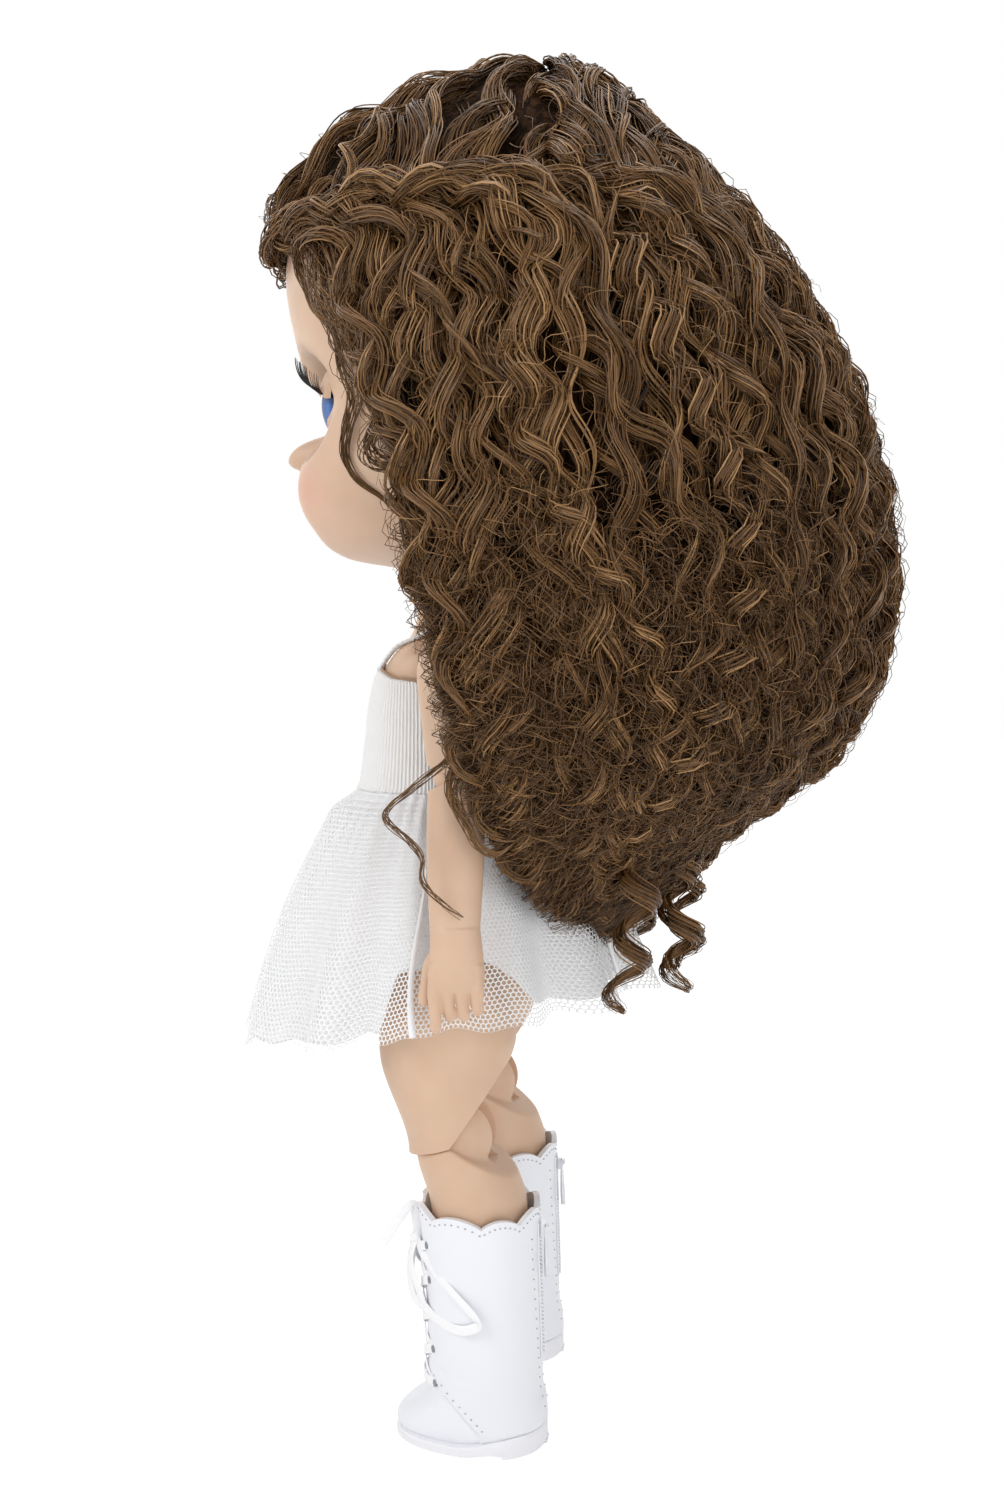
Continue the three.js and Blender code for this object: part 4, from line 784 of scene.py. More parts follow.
def torsoForm(inset, low, high, steps, count):
    heights = np.linspace(low, high, steps)
    sizes = zip(heights, *torsoSizes(heights, inset))
    return loftForm([ringPoints(0, torso["y"], z, w, f, r, count, torso["power"]) for z, w, f, r in sizes])


def buildTorso():
    t, s = torso, shoulder
    body = torsoForm(0, t["low"], t["top"], 120, 110)
    cut(body, torsoForm(t["wall"], hip["z"] + hip["radius"], s["z"] + s["radius"], 30, 40))
    posts, holes = [], []
    for z in t["screws"]:
        _, front, rear = (float(v) for v in torsoSizes(z))
        inside = t["y"] + rear - t["wall"]
        sink = t["postSink"]
        posts.append(rodForm((0, t["y"] - front + sink, z), (0, inside + sink, z), t["postRadius"]))
        holes.append(rodForm((0, t["splitY"] - 6, z), (0, far, z), t["screwHole"]))
        holes.append(rodForm((0, inside - t["headDepth"], z), (0, far, z), t["screwHead"]))
    bore = link["rod"] + seatGap
    for side in (1, -1):
        x, y, z = side * hip["x"], hip["y"], hip["z"]
        holes.append(ballForm(hip["radius"] + hip["room"], x, y, z))
        for way in ((0, -1, 0), (0, 0, -1), (0, 0.42, -0.9)):
            holes.append(rodForm((x, y, z), np.array((x, y, z)) + far * np.array(way), hip["swing"]))
        holes.append(rodForm((side * 0.7, y, z), (x, y, z), bore))
        holes.append(rodForm((side * s["cutX"] / 2, s["y"], s["z"]), (side * s["x"], s["y"], s["z"]), bore))
        holes.append(blockForm(*sorted((side * s["cutX"], side * 70)), *t["armGap"]))
    holes.append(ballForm(neck["ball"] + neck["room"], 0, neck["y"], neck["z"]))
    cut(joined(body, *posts), *holes)
    rear = bpy.data.objects.new("rear", body.data.copy())
    bpy.context.collection.objects.link(rear)
    combine(body, "INTERSECT", blockForm(-90, 90, -120, t["splitY"], 0, 300))
    combine(rear, "INTERSECT", blockForm(-90, 90, t["splitY"] + seatGap, 120, 0, 300))
    dress(body, "torsoFront", skinVinyl, "torso", "torso_front")
    dress(rear, "torsoBack", skinVinyl, "torso", "torso_back")


def buildNeck(c):
    ball = np.linspace(c["lowest"], c["highest"], 24)
    profile = [(c["ball"] * math.cos(a), c["z"] + c["ball"] * math.sin(a)) for a in ball]
    profile += [(c["post"][0][0], profile[-1][1] + c["neckUp"]), *c["post"]]
    form = loftForm([ringPoints(0, c["y"], z, r, r, r, c["points"]) for r, z in profile])
    dress(form, "neckPost", skinVinyl, "neck", "neck_post")


# Limbs

knee = {"x": 19.5, "y": -7, "z": 66, "halfDepth": 10.1, "halfWidth": 10.2, "knob": 8.4, "slope": 0.33}
thigh = {"halfWidth": 13, "halfDepth": 14.6}
calf = {"halfWidth": 10.4, "halfDepth": 10.3, "y": -2.4, "low": 6.25, "skin": 0.42, "softening": 16}
foot = {
    "length": 26.5, "heelY": 9.2, "middle": 0.42, "power": 2.3,
    "form": [  # height in boot walls above the sole, half-width share, length share
        (0, 0.62, 0.95), (1.6, 0.72, 1), (4, 0.7, 0.84), (6, 0.6, 0.55),
    ],
}
boot = {
    "height": 52, "front": 20.2, "rear": 12.4, "halfWidth": 12, "wall": 0.9, "sole": 2.6, "heel": 5,
    "heelStepY": 4, "scallop": 1.8, "rimDip": 0.3, "power": 2.15,
    "form": [  # height share, half-width share, front share, rear share
        [0, 0.76, 0.99, 0.97], [0.05, 0.82, 0.985, 0.98], [0.1, 0.83, 0.88, 0.97], [0.145, 0.83, 0.72, 0.95],
        [0.19, 0.85, 0.645, 0.9], [0.42, 0.93, 0.64, 0.87], [0.65, 0.96, 0.665, 0.84],
        [0.85, 0.99, 0.7, 0.82], [1, 1, 0.75, 0.83],
    ],
}
elbow = {"x": 33.5, "y": -4.7, "z": 143, "halfDepth": 5.7, "knob": 4.6, "skin": 0.27, "softening": 4}
wrist = {"x": 41.5, "y": -3.7, "z": 113, "halfDepth": 4.9, "halfWidth": 4}
hand = {
    "y": -3.1, "tip": 94, "thumb": 98.5, "halfDepth": 5.6, "halfWidth": 2.9, "finger": 1.5, "thin": 0.72,
    "thumbThin": 0.7,
    "fingers": [  # place across the palm in half depths, length share, curl towards the body
        (-0.74, 1.04, 0.1), (-0.27, 0.82, 0.6), (0.22, 0.8, 0.6), (0.74, 0.64, 0.25),
    ],
}
joints = {"lugHalf": 0.28, "lugRound": 0.6, "pinReach": 0.88, "pin": 1.3, "pinSides": 24}


def linkCavity(x, y, z, side):
    room, reach = link["rod"] + link["clearance"], 18
    return (ballForm(link["ball"] + link["clearance"], x, y, z, 24),
            rodForm((x, y, z), (x - side * reach, y, z), room, reach * 0.6 + link["rod"]))


def lug(x, y, z, knob):
    half, round_ = knob * joints["lugHalf"], knob * joints["lugRound"]
    return (rodForm((x - half, y, z), (x + half, y, z), round_),
            blockForm(x - half, x + half, y - round_ * 0.8, y + round_ * 0.8, z, z + knob * 1.3))


def lugSlot(x, y, z, knob, way):
    half, round_ = knob * joints["lugHalf"] + seatGap, knob * joints["lugRound"] + seatGap
    low, high = sorted((y - way * round_, y + way * far))
    return blockForm(x - half, x + half, low, high, z - round_, z + far)


def pinHole(x, y, z, knob):
    span = knob * joints["pinReach"] + seatGap / 2
    return rodForm((x - span, y, z), (x + span, y, z), joints["pin"] + seatGap / 2, sides=joints["pinSides"])


# The left limb is shaped and its mirror image is the right one
def dressPair(form, base, body):
    twin = mirroredCopy(form)
    title = "".join(word.capitalize() if i else word for i, word in enumerate(base.split("_")))
    dress(form, f"{title}Left", skinVinyl, f"{body}_left", f"{base}_left")
    dress(twin, f"{title}Right", skinVinyl, f"{body}_right", f"{base}_right")


def buildLegs():
    x, y, z, k = knee["x"], knee["y"], knee["z"], knee["knob"]
    w, d = knee["halfWidth"], knee["halfDepth"]
    top = (hip["x"], hip["y"], hip["z"])
    rows = [
        [x, y, z - k, w, d], [x, y - 0.2, z, w, d * 1.04],
        [x, (y + hip["y"]) / 2, (z * 2 + hip["z"]) / 3, thigh["halfWidth"] * 0.93, thigh["halfDepth"] * 0.92],
        [(x + hip["x"]) / 2, hip["y"] * 0.77, (z + hip["z"]) / 2, thigh["halfWidth"], thigh["halfDepth"]],
        [hip["x"] * 1.02, hip["y"] * 0.92, hip["z"] - 6, hip["radius"] * 0.96, hip["radius"] * 0.98],
    ]
    down = -math.pi / 2
    form = joined(limbForm(rows, 96, 80), ballForm(hip["radius"], *top))
    cut(form, wedgeForm(y, z - seatGap / 2, knee["slope"] - math.pi, down),
        wedgeForm(y, z - seatGap / 2, down, math.pi * 0.31), ballForm(k + 0.6, x, y, z), *linkCavity(*top, 1))
    cut(joined(form, *lug(x, y, z, k)), pinHole(x, y, z, k))
    dressPair(form, "thigh", "thigh")
    high, cw, cd, cy = boot["height"], calf["halfWidth"], calf["halfDepth"], calf["y"]
    rows = [
        [x, foot["heelY"] - cd * 1.05, calf["low"], cw * 0.72, cd * 0.72],
        [x, cy * 0.4, high * 0.3, cw * 0.8, cd * 0.82], [x, cy * 0.8, high * 0.7, cw * 0.92, cd * 0.93],
        [x, cy, high, cw, cd], [x, (cy + y) / 2, z - k * 0.8, w, cd], [x, y, z + k * 0.4, w, d],
    ]
    form = cut(limbForm(rows, 96, 80), wedgeForm(y, z - seatGap, -down, math.pi + knee["slope"]),
               wedgeForm(y, z - seatGap, -math.pi * 0.17, -down))
    remeshed(joined(form, ballForm(k, x, y, z, 80), footForm(x)), calf["skin"], calf["softening"])
    cut(form, lugSlot(x, y, z, k, 1), pinHole(x, y, z, k))
    dressPair(form, "calf", "calf")


def footForm(x):
    wall = boot["wall"]
    low = boot["sole"] + wall + seatGap * 2
    middle = foot["heelY"] - foot["length"] * foot["middle"]
    toe = foot["heelY"] - foot["length"]
    rings = [ringPoints(x, middle, low + up * wall, w * calf["halfWidth"], (middle - toe) * r,
                        (foot["heelY"] - middle) * r, 64, foot["power"]) for up, w, r in foot["form"]]
    step = blockForm(x - 40, x + 40, boot["heelStepY"] - seatGap * 3, far, 0, boot["heel"] + 0.7)
    return cut(loftForm(rings), step)


def buildArms():
    sx, sy, sz = shoulder["x"], shoulder["y"], shoulder["z"]
    ex, ey, ez, d, k = elbow["x"], elbow["y"], elbow["z"], elbow["halfDepth"], elbow["knob"]
    wx, wy, wz = wrist["x"], wrist["y"], wrist["z"]
    r, down, back = shoulder["radius"], -math.pi / 2, math.pi * 1.14
    rows = [
        [ex, ey, ez - k, d * 0.94, d], [ex, ey, ez, d * 0.94, d],
        [(sx + ex) / 2, (sy + ey) / 2, (ez + sz) / 2, d, d * 1.04],
        [sx + r * 0.12, sy, sz - r * 0.2, r * 0.92, r * 0.98],
    ]
    form = joined(limbForm(rows, 72, 60), ballForm(r, sx, sy, sz))
    cut(form, wedgeForm(ey, ez - seatGap / 2, down, 0), wedgeForm(ey, ez - seatGap / 2, -back, down),
        ballForm(k + 0.4, ex, ey, ez), *linkCavity(sx, sy, sz, 1))
    cut(joined(form, *lug(ex, ey, ez, k)), pinHole(ex, ey, ez, k))
    dressPair(form, "upper_arm", "upper_arm")
    rows = [
        [wx, wy, wz, wrist["halfWidth"], wrist["halfDepth"]],
        [(wx + ex) / 2, (ey + wy) / 2, (wz + ez) / 2, d * 0.86, d], [ex, ey, ez, d * 0.94, d],
        [ex, ey, ez + k, d * 0.94, d],
    ]
    form = remeshed(joined(limbForm(rows, 72, 70), *handForms()), elbow["skin"], elbow["softening"])
    cut(form, wedgeForm(ey, ez - seatGap, 0, -down), wedgeForm(ey, ez - seatGap, -down, back))
    joined(form, ballForm(k, ex, ey, ez))
    cut(form, lugSlot(ex, ey, ez, k, -1), pinHole(ex, ey, ez, k))
    dressPair(form, "forearm", "forearm")


# A finger along points, thinner towards its round tip and a little wider at its joints
def fingerForm(points, radius, thin):
    line = smoothLine(points, 26)
    t = np.linspace(0, 1, 26)
    scale = (1 - (1 - thin) * t) * np.sqrt(np.clip(1 - np.clip((t - 0.86) / 0.14, 0, 1) ** 2, 0.02, 1))
    scale *= 1 + 0.05 * np.cos(t * 14)
    return formFrom(*closedLoft(swept(line, circleSection(radius, 20), (1, 0, 0.01), scale=scale)))


def handForms():
    wx, wz, tip = wrist["x"], wrist["z"], hand["tip"]
    lean = (wrist["x"] - elbow["x"]) / (elbow["z"] - wz)
    y, hd, hw, f = hand["y"], hand["halfDepth"], hand["halfWidth"], hand["finger"]

    def at(z):
        return wx + lean * (wz - z)

    knuckle = (wz + tip) / 2
    palmZ = (wz + knuckle) / 2
    rows = [
        [at(knuckle - f), y, knuckle - f * 0.9, hw * 0.4, hd * 0.78],
        [at(knuckle), y, knuckle, hw * 0.74, hd * 0.92], [at(knuckle + f), y, knuckle + f, hw, hd],
        [at(palmZ), y, palmZ, hw * 1.1, hd * 0.94],
        [wx, wrist["y"], wz + f, wrist["halfWidth"], wrist["halfDepth"]],
    ]
    forms = [limbForm(rows, 64, 30)]
    for depth, length, curl in hand["fingers"]:
        fy, reach = y + depth * hd, (knuckle - tip) * length
        points = [(at(knuckle + f), fy * 0.9 + y * 0.1, knuckle + 2.5 * f), (at(knuckle) + 0.3, fy, knuckle),
                  (at(knuckle) - curl * f * 0.4, fy, knuckle - reach * 0.5),
                  (at(knuckle) - curl * f * 2.4, fy + 0.2, knuckle - reach)]
        forms.append(fingerForm(points, f * 1.02, hand["thin"]))
    thumb = [(at(wz) - f, y - hd * 0.55, palmZ + 2.2), (at(palmZ) - f * 1.6, y - hd * 0.98, palmZ - 2.2),
             (at(hand["thumb"]) - f * 2, y - hd * 1.2, hand["thumb"])]
    forms.append(fingerForm(thumb, f * 1.25, hand["thumbThin"]))
    return forms


buildTorso()
buildNeck(neck)
buildLegs()
buildArms()
print("body and limbs are shaped")


# Dress

fabrics = {
    # the "edge" brown is the seam along the bodice's top edge, darkened with painted shade of the gap between
    # bodice and skin
    "knit": (238, 237, 236), "lining": (245, 245, 246), "net": (246, 246, 247), "edge": (176, 146, 116),
    "ribbon": (242, 242, 244), "strap": ((226, 227, 229), (241, 242, 243)),
}
skirt = {
    "waistZ": 137.65, "waistHalfWidth": 21, "waistDepth": 21.98, "sideReach": 38, "frontReach": 46.5,
    "rearReach": 49, "hemZ": 82, "hemRise": 9, "foldDepth": 2.6, "folds": 12, "gathers": 44,
    "gatherDepth": 0.75, "tuck": 0.045, "netInset": 0.2, "liningInset": 1.75, "clothWall": 0.35,
    "columns": 252, "rows": 54, "strand": 0.74, "thread": 0.13, "liningPoints": 360, "liningRows": 46,
    "netFolds": [  # turn round the skirt, share down where it starts, width
        (0.05, 0.3, 1.5), (2.75, 0.35, 1.1), (1.35, 0.2, 1.2),
    ],
}
bodice = {
    "low": 138, "frontTop": 165, "sideDip": 4.5, "gap": 0.55, "wall": 0.75, "ribs": 124, "ribDepth": 0.17,
    "rows": 52, "edgeAt": 163.0, "stitch": 0.9, "edgeThread": 0.3,
}
strap = {
    "x": 11.0, "frontLow": 163.6, "rearLow": 159.5, "high": 171.0, "arch": 172.6, "halfWidth": 1.0,
    "halfThick": 0.5, "steps": 120, "points": 30,
}


# Cloth white with a woven grain of that many threads in a metre
def clothMaterial(name, colour, threads, strength, roughness=0.85):
    material, tree, shader = newMaterial(name, colour, roughness, Sheen_Weight=0.25)
    place = addNode(tree, "TexCoord").outputs["Object"]
    waves = []
    for direction in ("X", "Z"):
        wave = addNode(tree, "TexWave", {"Vector": place, "Scale": threads, "Distortion": 1.5},
                       bands_direction=direction)
        waves.append(wave.outputs["Fac"])
    both = addNode(tree, "Math", dict(enumerate(waves)), operation="ADD")
    bump = addNode(tree, "Bump", {"Strength": strength, "Distance": 0.00008, "Height": both.outputs[0]})
    tree.links.new(bump.outputs["Normal"], shader.inputs["Normal"])
    return material


# Distance of the bodice's outside from the skirt's middle at the waist, so that the skirt's top meets it
def waistReach(angle):
    turn = np.linspace(-np.pi, np.pi, 241)
    ring = torsoSkin(turn, np.full(241, skirt["waistZ"]), bodice["gap"] + bodice["wall"] + 0.1)
    away = np.arctan2(ring[:, 1] - torso["y"], ring[:, 0])
    order = np.argsort(away)
    reach = np.hypot(ring[:, 0], ring[:, 1] - torso["y"])[order]
    return np.interp((angle + np.pi) % (2 * np.pi) - np.pi, away[order], reach)


# Places on the skirt: turn round it, share down it, lift of the hem and distance in from the outside
def skirtPlace(angle, down, lift, inset):
    c, s = np.cos(angle), np.sin(angle)
    k = skirt
    hem = k["hemZ"] + k["hemRise"] * np.where(s < 0, 1 + s, 1 + 0.45 * s)
    drop = k["waistZ"] - hem
    z = k["waistZ"] - down * (drop - lift)
    u = down * (drop - lift) / drop
    fold = k["foldDepth"] * (0.15 + 0.85 * u) * np.cos(k["folds"] * angle + 0.5 * np.sin(angle * 5 + 1))
    fold += 0.9 * u**2 * np.sin(19 * angle + 2.0 * np.sin(3 * angle))
    fold += k["gatherDepth"] * np.exp(-down * 5.5) * np.cos(k["gathers"] * angle + np.sin(7 * angle))
    flare = 0.12 * np.sin(np.pi * u) + u
    wide = k["waistHalfWidth"] + (k["sideReach"] - k["waistHalfWidth"]) * flare
    reach = np.where(s < 0, k["frontReach"], k["rearReach"]) - k["foldDepth"]
    deep = k["waistDepth"] + (reach - k["waistDepth"]) * flare
    tuck = np.exp(-((u / k["tuck"]) ** 2))
    radius = 1 / np.hypot(c / wide, s / deep) + fold * (1 - 0.7 * tuck)
    radius = radius * (1 - tuck) + (waistReach(angle) + 0.3 * fold) * tuck - inset * (1 - 0.85 * tuck)
    z = z + 0.5 * u**3 * np.sin(23 * angle + 1.3) + 0.9 * tuck
    return np.stack([radius * c, torso["y"] + radius * s, z], -1)


# The lining reaches the net's hem at the front, and stops well above it at the sides where only net hangs
def liningLift(angle):
    aside = np.arcsin(np.clip(np.sin(angle), -1, 1))
    rise = np.clip((aside + 0.2) / 0.14, 0, 1) * np.clip((0.8 - aside) / 0.4, 0, 1)
    return 1.4 + 1.6 * (aside > 0) * np.clip(aside - 0.3, 0, 1) + 11.4 * eased(rise)


def buildLining(c):
    angle = ringTurns(c["liningPoints"])
    lift, heights = liningLift(angle), np.linspace(1, 0, c["liningRows"])
    outer, inner = [[skirtPlace(angle, down, lift, inset) for down in heights]
                    for inset in (c["liningInset"], c["liningInset"] + c["clothWall"])]
    weave = clothMaterial("liningWeave", fabrics["lining"], 700, 0.4)
    return pieceFrom("skirtLining", *wallFaces(outer, inner), weave, None, "lining")


# Hexagonal net: each cell is a flat six-sided ring, and neighbours share their outer corners
def buildNet(material):
    columns, rows, hole = skirt["columns"], skirt["rows"], skirt["strand"]
    cell = 2 * np.pi / columns
    corner = np.array([(0, 2), (1.5, 1), (1.5, -1), (0, -2), (-1.5, -1), (-1.5, 1)]) / 3
    i, r = np.meshgrid(np.arange(columns), np.arange(rows))
    centreTurn = (i + 0.5 * (r % 2)) * cell
    centreDown = (r + 0.5) / rows
    rings = []
    for size, deep in ((1, 0.0), (hole, skirt["thread"])):
        turn = centreTurn[..., None] + corner[:, 0] * cell * size
        down = np.clip(centreDown[..., None] - corner[:, 1] * size / rows, 0, 1)
        rings.append(skirtPlace(turn, down, 0.0, skirt["netInset"] + deep).reshape(-1, 3))
    points = np.concatenate(rings)
    total = columns * rows * 6
    a = np.arange(total).reshape(-1, 6)
    b = np.roll(a, -1, axis=1)
    quads = np.stack([a, b, b + total, a + total], -1).reshape(-1, 4)
    keys = np.round(points * 1000).astype(np.int64)
    _, first, back = np.unique(keys, axis=0, return_index=True, return_inverse=True)
    return pieceFrom("tulleNet", points[first], back.reshape(-1)[quads], material, None, "net")


# Where the net is folded over itself, a narrow double band runs down the near side
def buildNetFolds(c, material):
    lofts = []
    steps, low = 60, 0.995
    for turn, top, width in c["netFolds"]:
        down = np.linspace(top, low, steps)
        line = skirtPlace(turn + 0.03 * np.sin(down * 6), down, 0.0, c["netInset"] - 0.35)
        section = [(-1, -0.12), (0, -0.2), (1, -0.12), (1, 0.06), (0, 0.18), (-1, 0.06)]
        near = skirtPlace(np.array([turn - 0.01, turn, turn + 0.01]), 0.7, 0.0, 0.0)
        side = unit(np.gradient(near, axis=0)[1])
        section = np.array(section) * (width / 2, 1)
        lofts.append(closedLoft(swept(line, section, side, scale=np.linspace(0.4, 1, steps))))
    return pieceFrom("netFolds", *gathered(lofts), material, None, "net")


# Height of the bodice's top edge at a place Y
def bodiceTop(y):
    front = torso["y"] - torso["halfDepth"]
    return np.interp(y, [front, (front + torso["y"]) / 2, shoulder["y"]],
                     [bodice["frontTop"], bodice["frontTop"] - bodice["sideDip"] * 0.6,
                      bodice["frontTop"] - bodice["sideDip"]])


def torsoSkin(angle, z, out):
    c, s, stretch = ovalTurn(angle, torso["power"])
    w, f, r = torsoSizes(z, -out)
    return np.stack([w * c * stretch, torso["y"] + np.where(s < 0, f, r) * s * stretch, z], -1)


def buildBodice(k):
    count = k["ribs"] * 6
    angle = ringTurns(count)
    top = bodiceTop(torsoSkin(angle, np.full(count, k["edgeAt"]), 1.0)[:, 1])
    rib = np.cos(angle * k["ribs"])
    ribbed = k["ribDepth"] * (np.sign(rib) * np.abs(rib) ** 0.7)
    outer, inner = [], []
    for v in np.linspace(0, 1, k["rows"]):
        z = k["low"] + v * (top - k["low"])
        soft = 0.12 * np.sin(z * 0.9 + 3 * np.sin(angle * 2)) * np.sin(angle * 3 + 1)
        roll = 0.3 * np.exp(-((1 - v) / 0.02) ** 2) + 0.45 * np.exp(-(v / 0.03) ** 2)
        stitch = 0.05 * np.cos(z * 2 * np.pi / k["stitch"] + np.pi * (rib > 0))
        outer.append(torsoSkin(angle, z, k["gap"] + k["wall"] + ribbed + soft + roll + stitch))
        inner.append(torsoSkin(angle, z, np.full(count, k["gap"])))
    yarn = clothMaterial("knitYarn", fabrics["knit"], 1500, 0.3)
    piece = pieceFrom("ribbedBodice", *wallFaces(outer, inner), yarn, "torso", "knit")
    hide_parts("bodice")
    # a brown line along the bodice's top edge: its seam, darkened with painted shade of the gap between
    # bodice and skin
    turn = np.linspace(0, 2 * np.pi, 400)
    edgeY = torsoSkin(turn, np.full(400, k["edgeAt"]), 1.0)[:, 1]
    line = torsoSkin(turn, bodiceTop(edgeY) + 0.12, np.full(400, k["gap"] + 0.25))
    line[:, 2] += 0.12 * np.sin(turn * 90)
    seamAndShade = clothMaterial("edgeSeamAndShade", fabrics["edge"], 1500, 0.3)
    loft = closedLoft(swept(line, circleSection(k["edgeThread"], 8), (0, 0, 1)))
    thread = pieceFrom("bodiceEdgeSeamAndShade", *loft, seamAndShade, "torso", "knit")
    return piece, thread


def buildStraps(k):
    material = mottled("strapYarn", *fabrics["strap"], 0.75, 900, 0.02)
    angle = np.linspace(0, 2 * np.pi, 20)[:-1]
    section = np.array([(math.cos(a) * k["halfWidth"], math.sin(a) * k["halfThick"]) for a in angle])
    ripple = 1 + 0.06 * np.sin(np.arange(k["steps"]) * 1.4)
    power = torso["power"]
    for name, side in sideSigns.items():
        ends = []
        for column, sign, low in ((1, -1, k["frontLow"]), (2, 1, k["rearLow"])):
            z = np.linspace(low, k["high"], k["points"])
            sizes = torsoSizes(z, -1.0)
            reach = np.clip(1 - (k["x"] / np.maximum(sizes[0], k["x"] + 0.001)) ** power, 0, 1) ** (1 / power)
            y = torso["y"] + sign * sizes[column] * reach
            ends.append(np.column_stack([np.full(k["points"], side * k["x"]), y, z]))
        front, rear = ends[0], ends[1][::-1]
        arch = np.array([(side * k["x"], (front[-1, 1] + rear[0, 1]) / 2, k["arch"])])
        line = smoothLine(np.concatenate([front[::4], arch, rear[::4]]), k["steps"])
        for _ in range(4):
            line[1:-1] = (line[:-2] + line[1:-1] * 2 + line[2:]) / 4
        loft = closedLoft(swept(line, section, (1, 0, 0), scale=ripple))
        piece = pieceFrom(f"strap{name.capitalize()}", *loft, material, "torso", "knit")
        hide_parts(f"strap_{name}")


def buildDress():
    lining = buildLining(skirt)
    netThread = clothMaterial("netThread", fabrics["net"], 2000, 0.1, 0.7)
    net, folds = buildNet(netThread), buildNetFolds(skirt, netThread)
    for piece in (lining, net, folds):
        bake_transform(piece)
    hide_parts("skirt_lining")
    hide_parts("tulle_overlay")
    knit, thread = buildBodice(bodice)
    buildStraps(strap)


buildDress()
print("dress is laid")


# Boots

leather = {
    "colour": (233, 235, 240), "sole": (236, 236, 240), "stitch": ((168, 168, 174), (190, 190, 196)),
    "eyelet": ((120, 122, 128), (146, 148, 154)), "pull": ((214, 215, 220), (228, 229, 233)),
}
upper = {
    "points": 260, "rows": 150, "lining": 60, "seam": 0.3, "piping": 0.2, "tongue": 0.55, "tongueHalf": 2.6,
    "welt": 0.35, "creases": 0.14, "ankle": 17, "capTop": 18, "flapFrom": 16,
    "seamLine": [  # height, and Y of the toe cap's edge there
        (2.0, -0.6), (5.6, -1.0), (7.8, -3.0), (11.2, -6.5), (14.8, -10.6), (16.6, -13.4), (19, -20),
    ],
}
sole = {"points": 160, "share": 0.86, "centreY": -3.5, "tread": 0.4, "arch": 0.9, "archY": 1.5, "lug": 0.62}
lacing = {
    "levels": (14.3, 21.7, 29.1, 36.5, 43.9), "reach": 6.5, "width": 2.0, "thick": 0.22,
    "knot": (1.0, -15.6, 43.3), "eyelet": (0.6, 0.8), "outward": (0.75, -0.65, 0.15),
    # two loops on the boot's outer side, one across it, a tail that springs forward and one that hangs
    "nearLoop": [(1.0, -15.6, 43.4), (5.2, -13.6, 41.6), (10.4, -7.6, 37.2), (13.2, -1.6, 32.6),
                 (12.9, -0.6, 30.4), (11.8, -4.4, 28.6), (8.6, -9.8, 29.0), (4.6, -14.4, 31.6),
                 (2.0, -16.6, 36.6), (0.9, -16.0, 42.6)],
    "smallLoop": [(1.2, -16.0, 43.0), (3.4, -16.6, 39.0), (5.4, -14.4, 33.6), (5.6, -13.4, 30.6),
                  (3.8, -15.8, 31.6), (1.8, -17.0, 36.4), (0.8, -16.4, 42.4)],
    "farLoop": [(0.4, -15.6, 43.4), (-4.2, -14.0, 41.8), (-9.4, -9.0, 38.2), (-11.6, -4.8, 34.4),
                (-11.2, -5.2, 32.0), (-8.4, -10.4, 32.2), (-3.6, -15.2, 36.6), (0.2, -16.0, 42.6)],
    "springing": [(1.0, -15.4, 43.6), (1.3, -15.7, 47.6), (1.6, -16.2, 50.4), (2.0, -18.0, 49.2),
                  (2.5, -22.7, 42.0)],
    "hanging": [(0.6, -15.9, 43.0), (-0.6, -17.2, 39.0), (-2.2, -17.0, 34.4), (-3.4, -16.4, 30.6)],
}
zipper = {
    "low": 18.7, "high": 47.8, "pitch": 0.85, "tapeX": 0.95, "tapeHalf": (0.75, 0.16), "tooth": 0.19,
    "pullLength": 10.5, "pullHalf": 1.17, "pullNeck": 0.42, "widest": 0.72,
}


def bootSizes(z):
    share = (np.asarray(z, float) - boot["sole"]) / (boot["height"] - boot["sole"])
    form = tableAt(boot["form"], np.clip(share, 0, 1))
    return form[..., 0] * boot["halfWidth"], form[..., 1] * boot["front"], form[..., 2] * boot["rear"]


# Places on the boot about its own axis: turn (0 is its outer side, a quarter turn is the rear) and height
def bootPlace(turn, z, out=0.0):
    c, s, stretch = ovalTurn(turn, boot["power"])
    w, f, r = bootSizes(z)
    places = ((w + out) * c * stretch, np.where(s < 0, f + out, r + out) * s * stretch, z)
    return np.stack(np.broadcast_arrays(*places), -1)


# Top of the sole, which thickens towards the heel
def soleTop(y):
    return boot["sole"] + (boot["heel"] - boot["sole"]) * eased((y + 6) / 14)


def rimHeight(turn):
    wave = np.abs(np.sin(4 * turn)) ** 0.8
    return boot["height"] - boot["rimDip"] * np.abs(np.cos(turn)) - boot["scallop"] * (1 - wave)


def seamAt(z):
    return np.interp(z, *np.array(upper["seamLine"]).T)


# Relief on the leather: toe cap, piping, lace flaps, the welt and creases at the ankle
def bootRelief(x, y, z):
    k = upper
    past = y - seamAt(z)
    relief = k["seam"] * np.clip((past + 0.15) / 0.35, 0, 1)
    relief += k["piping"] * np.exp(-(((past - 0.35) / 0.34) ** 2)) * (z < k["capTop"])
    front = np.clip((-y - 4) / 3, 0, 1) * np.clip((z - k["flapFrom"]) / 2, 0, 1)
    tongue = np.clip((k["tongueHalf"] - np.abs(x)) / 0.35, 0, 1)
    relief -= k["tongue"] * tongue * front
    relief -= k["welt"] * np.exp(-(((z - soleTop(y)) / 0.35) ** 2))
    ankle = np.exp(-((z - k["ankle"]) / 4) ** 2) * np.clip((-y - 2) / 8, 0, 1)
    return relief + k["creases"] * ankle * np.sin(z * 1.9 + x * 0.3)


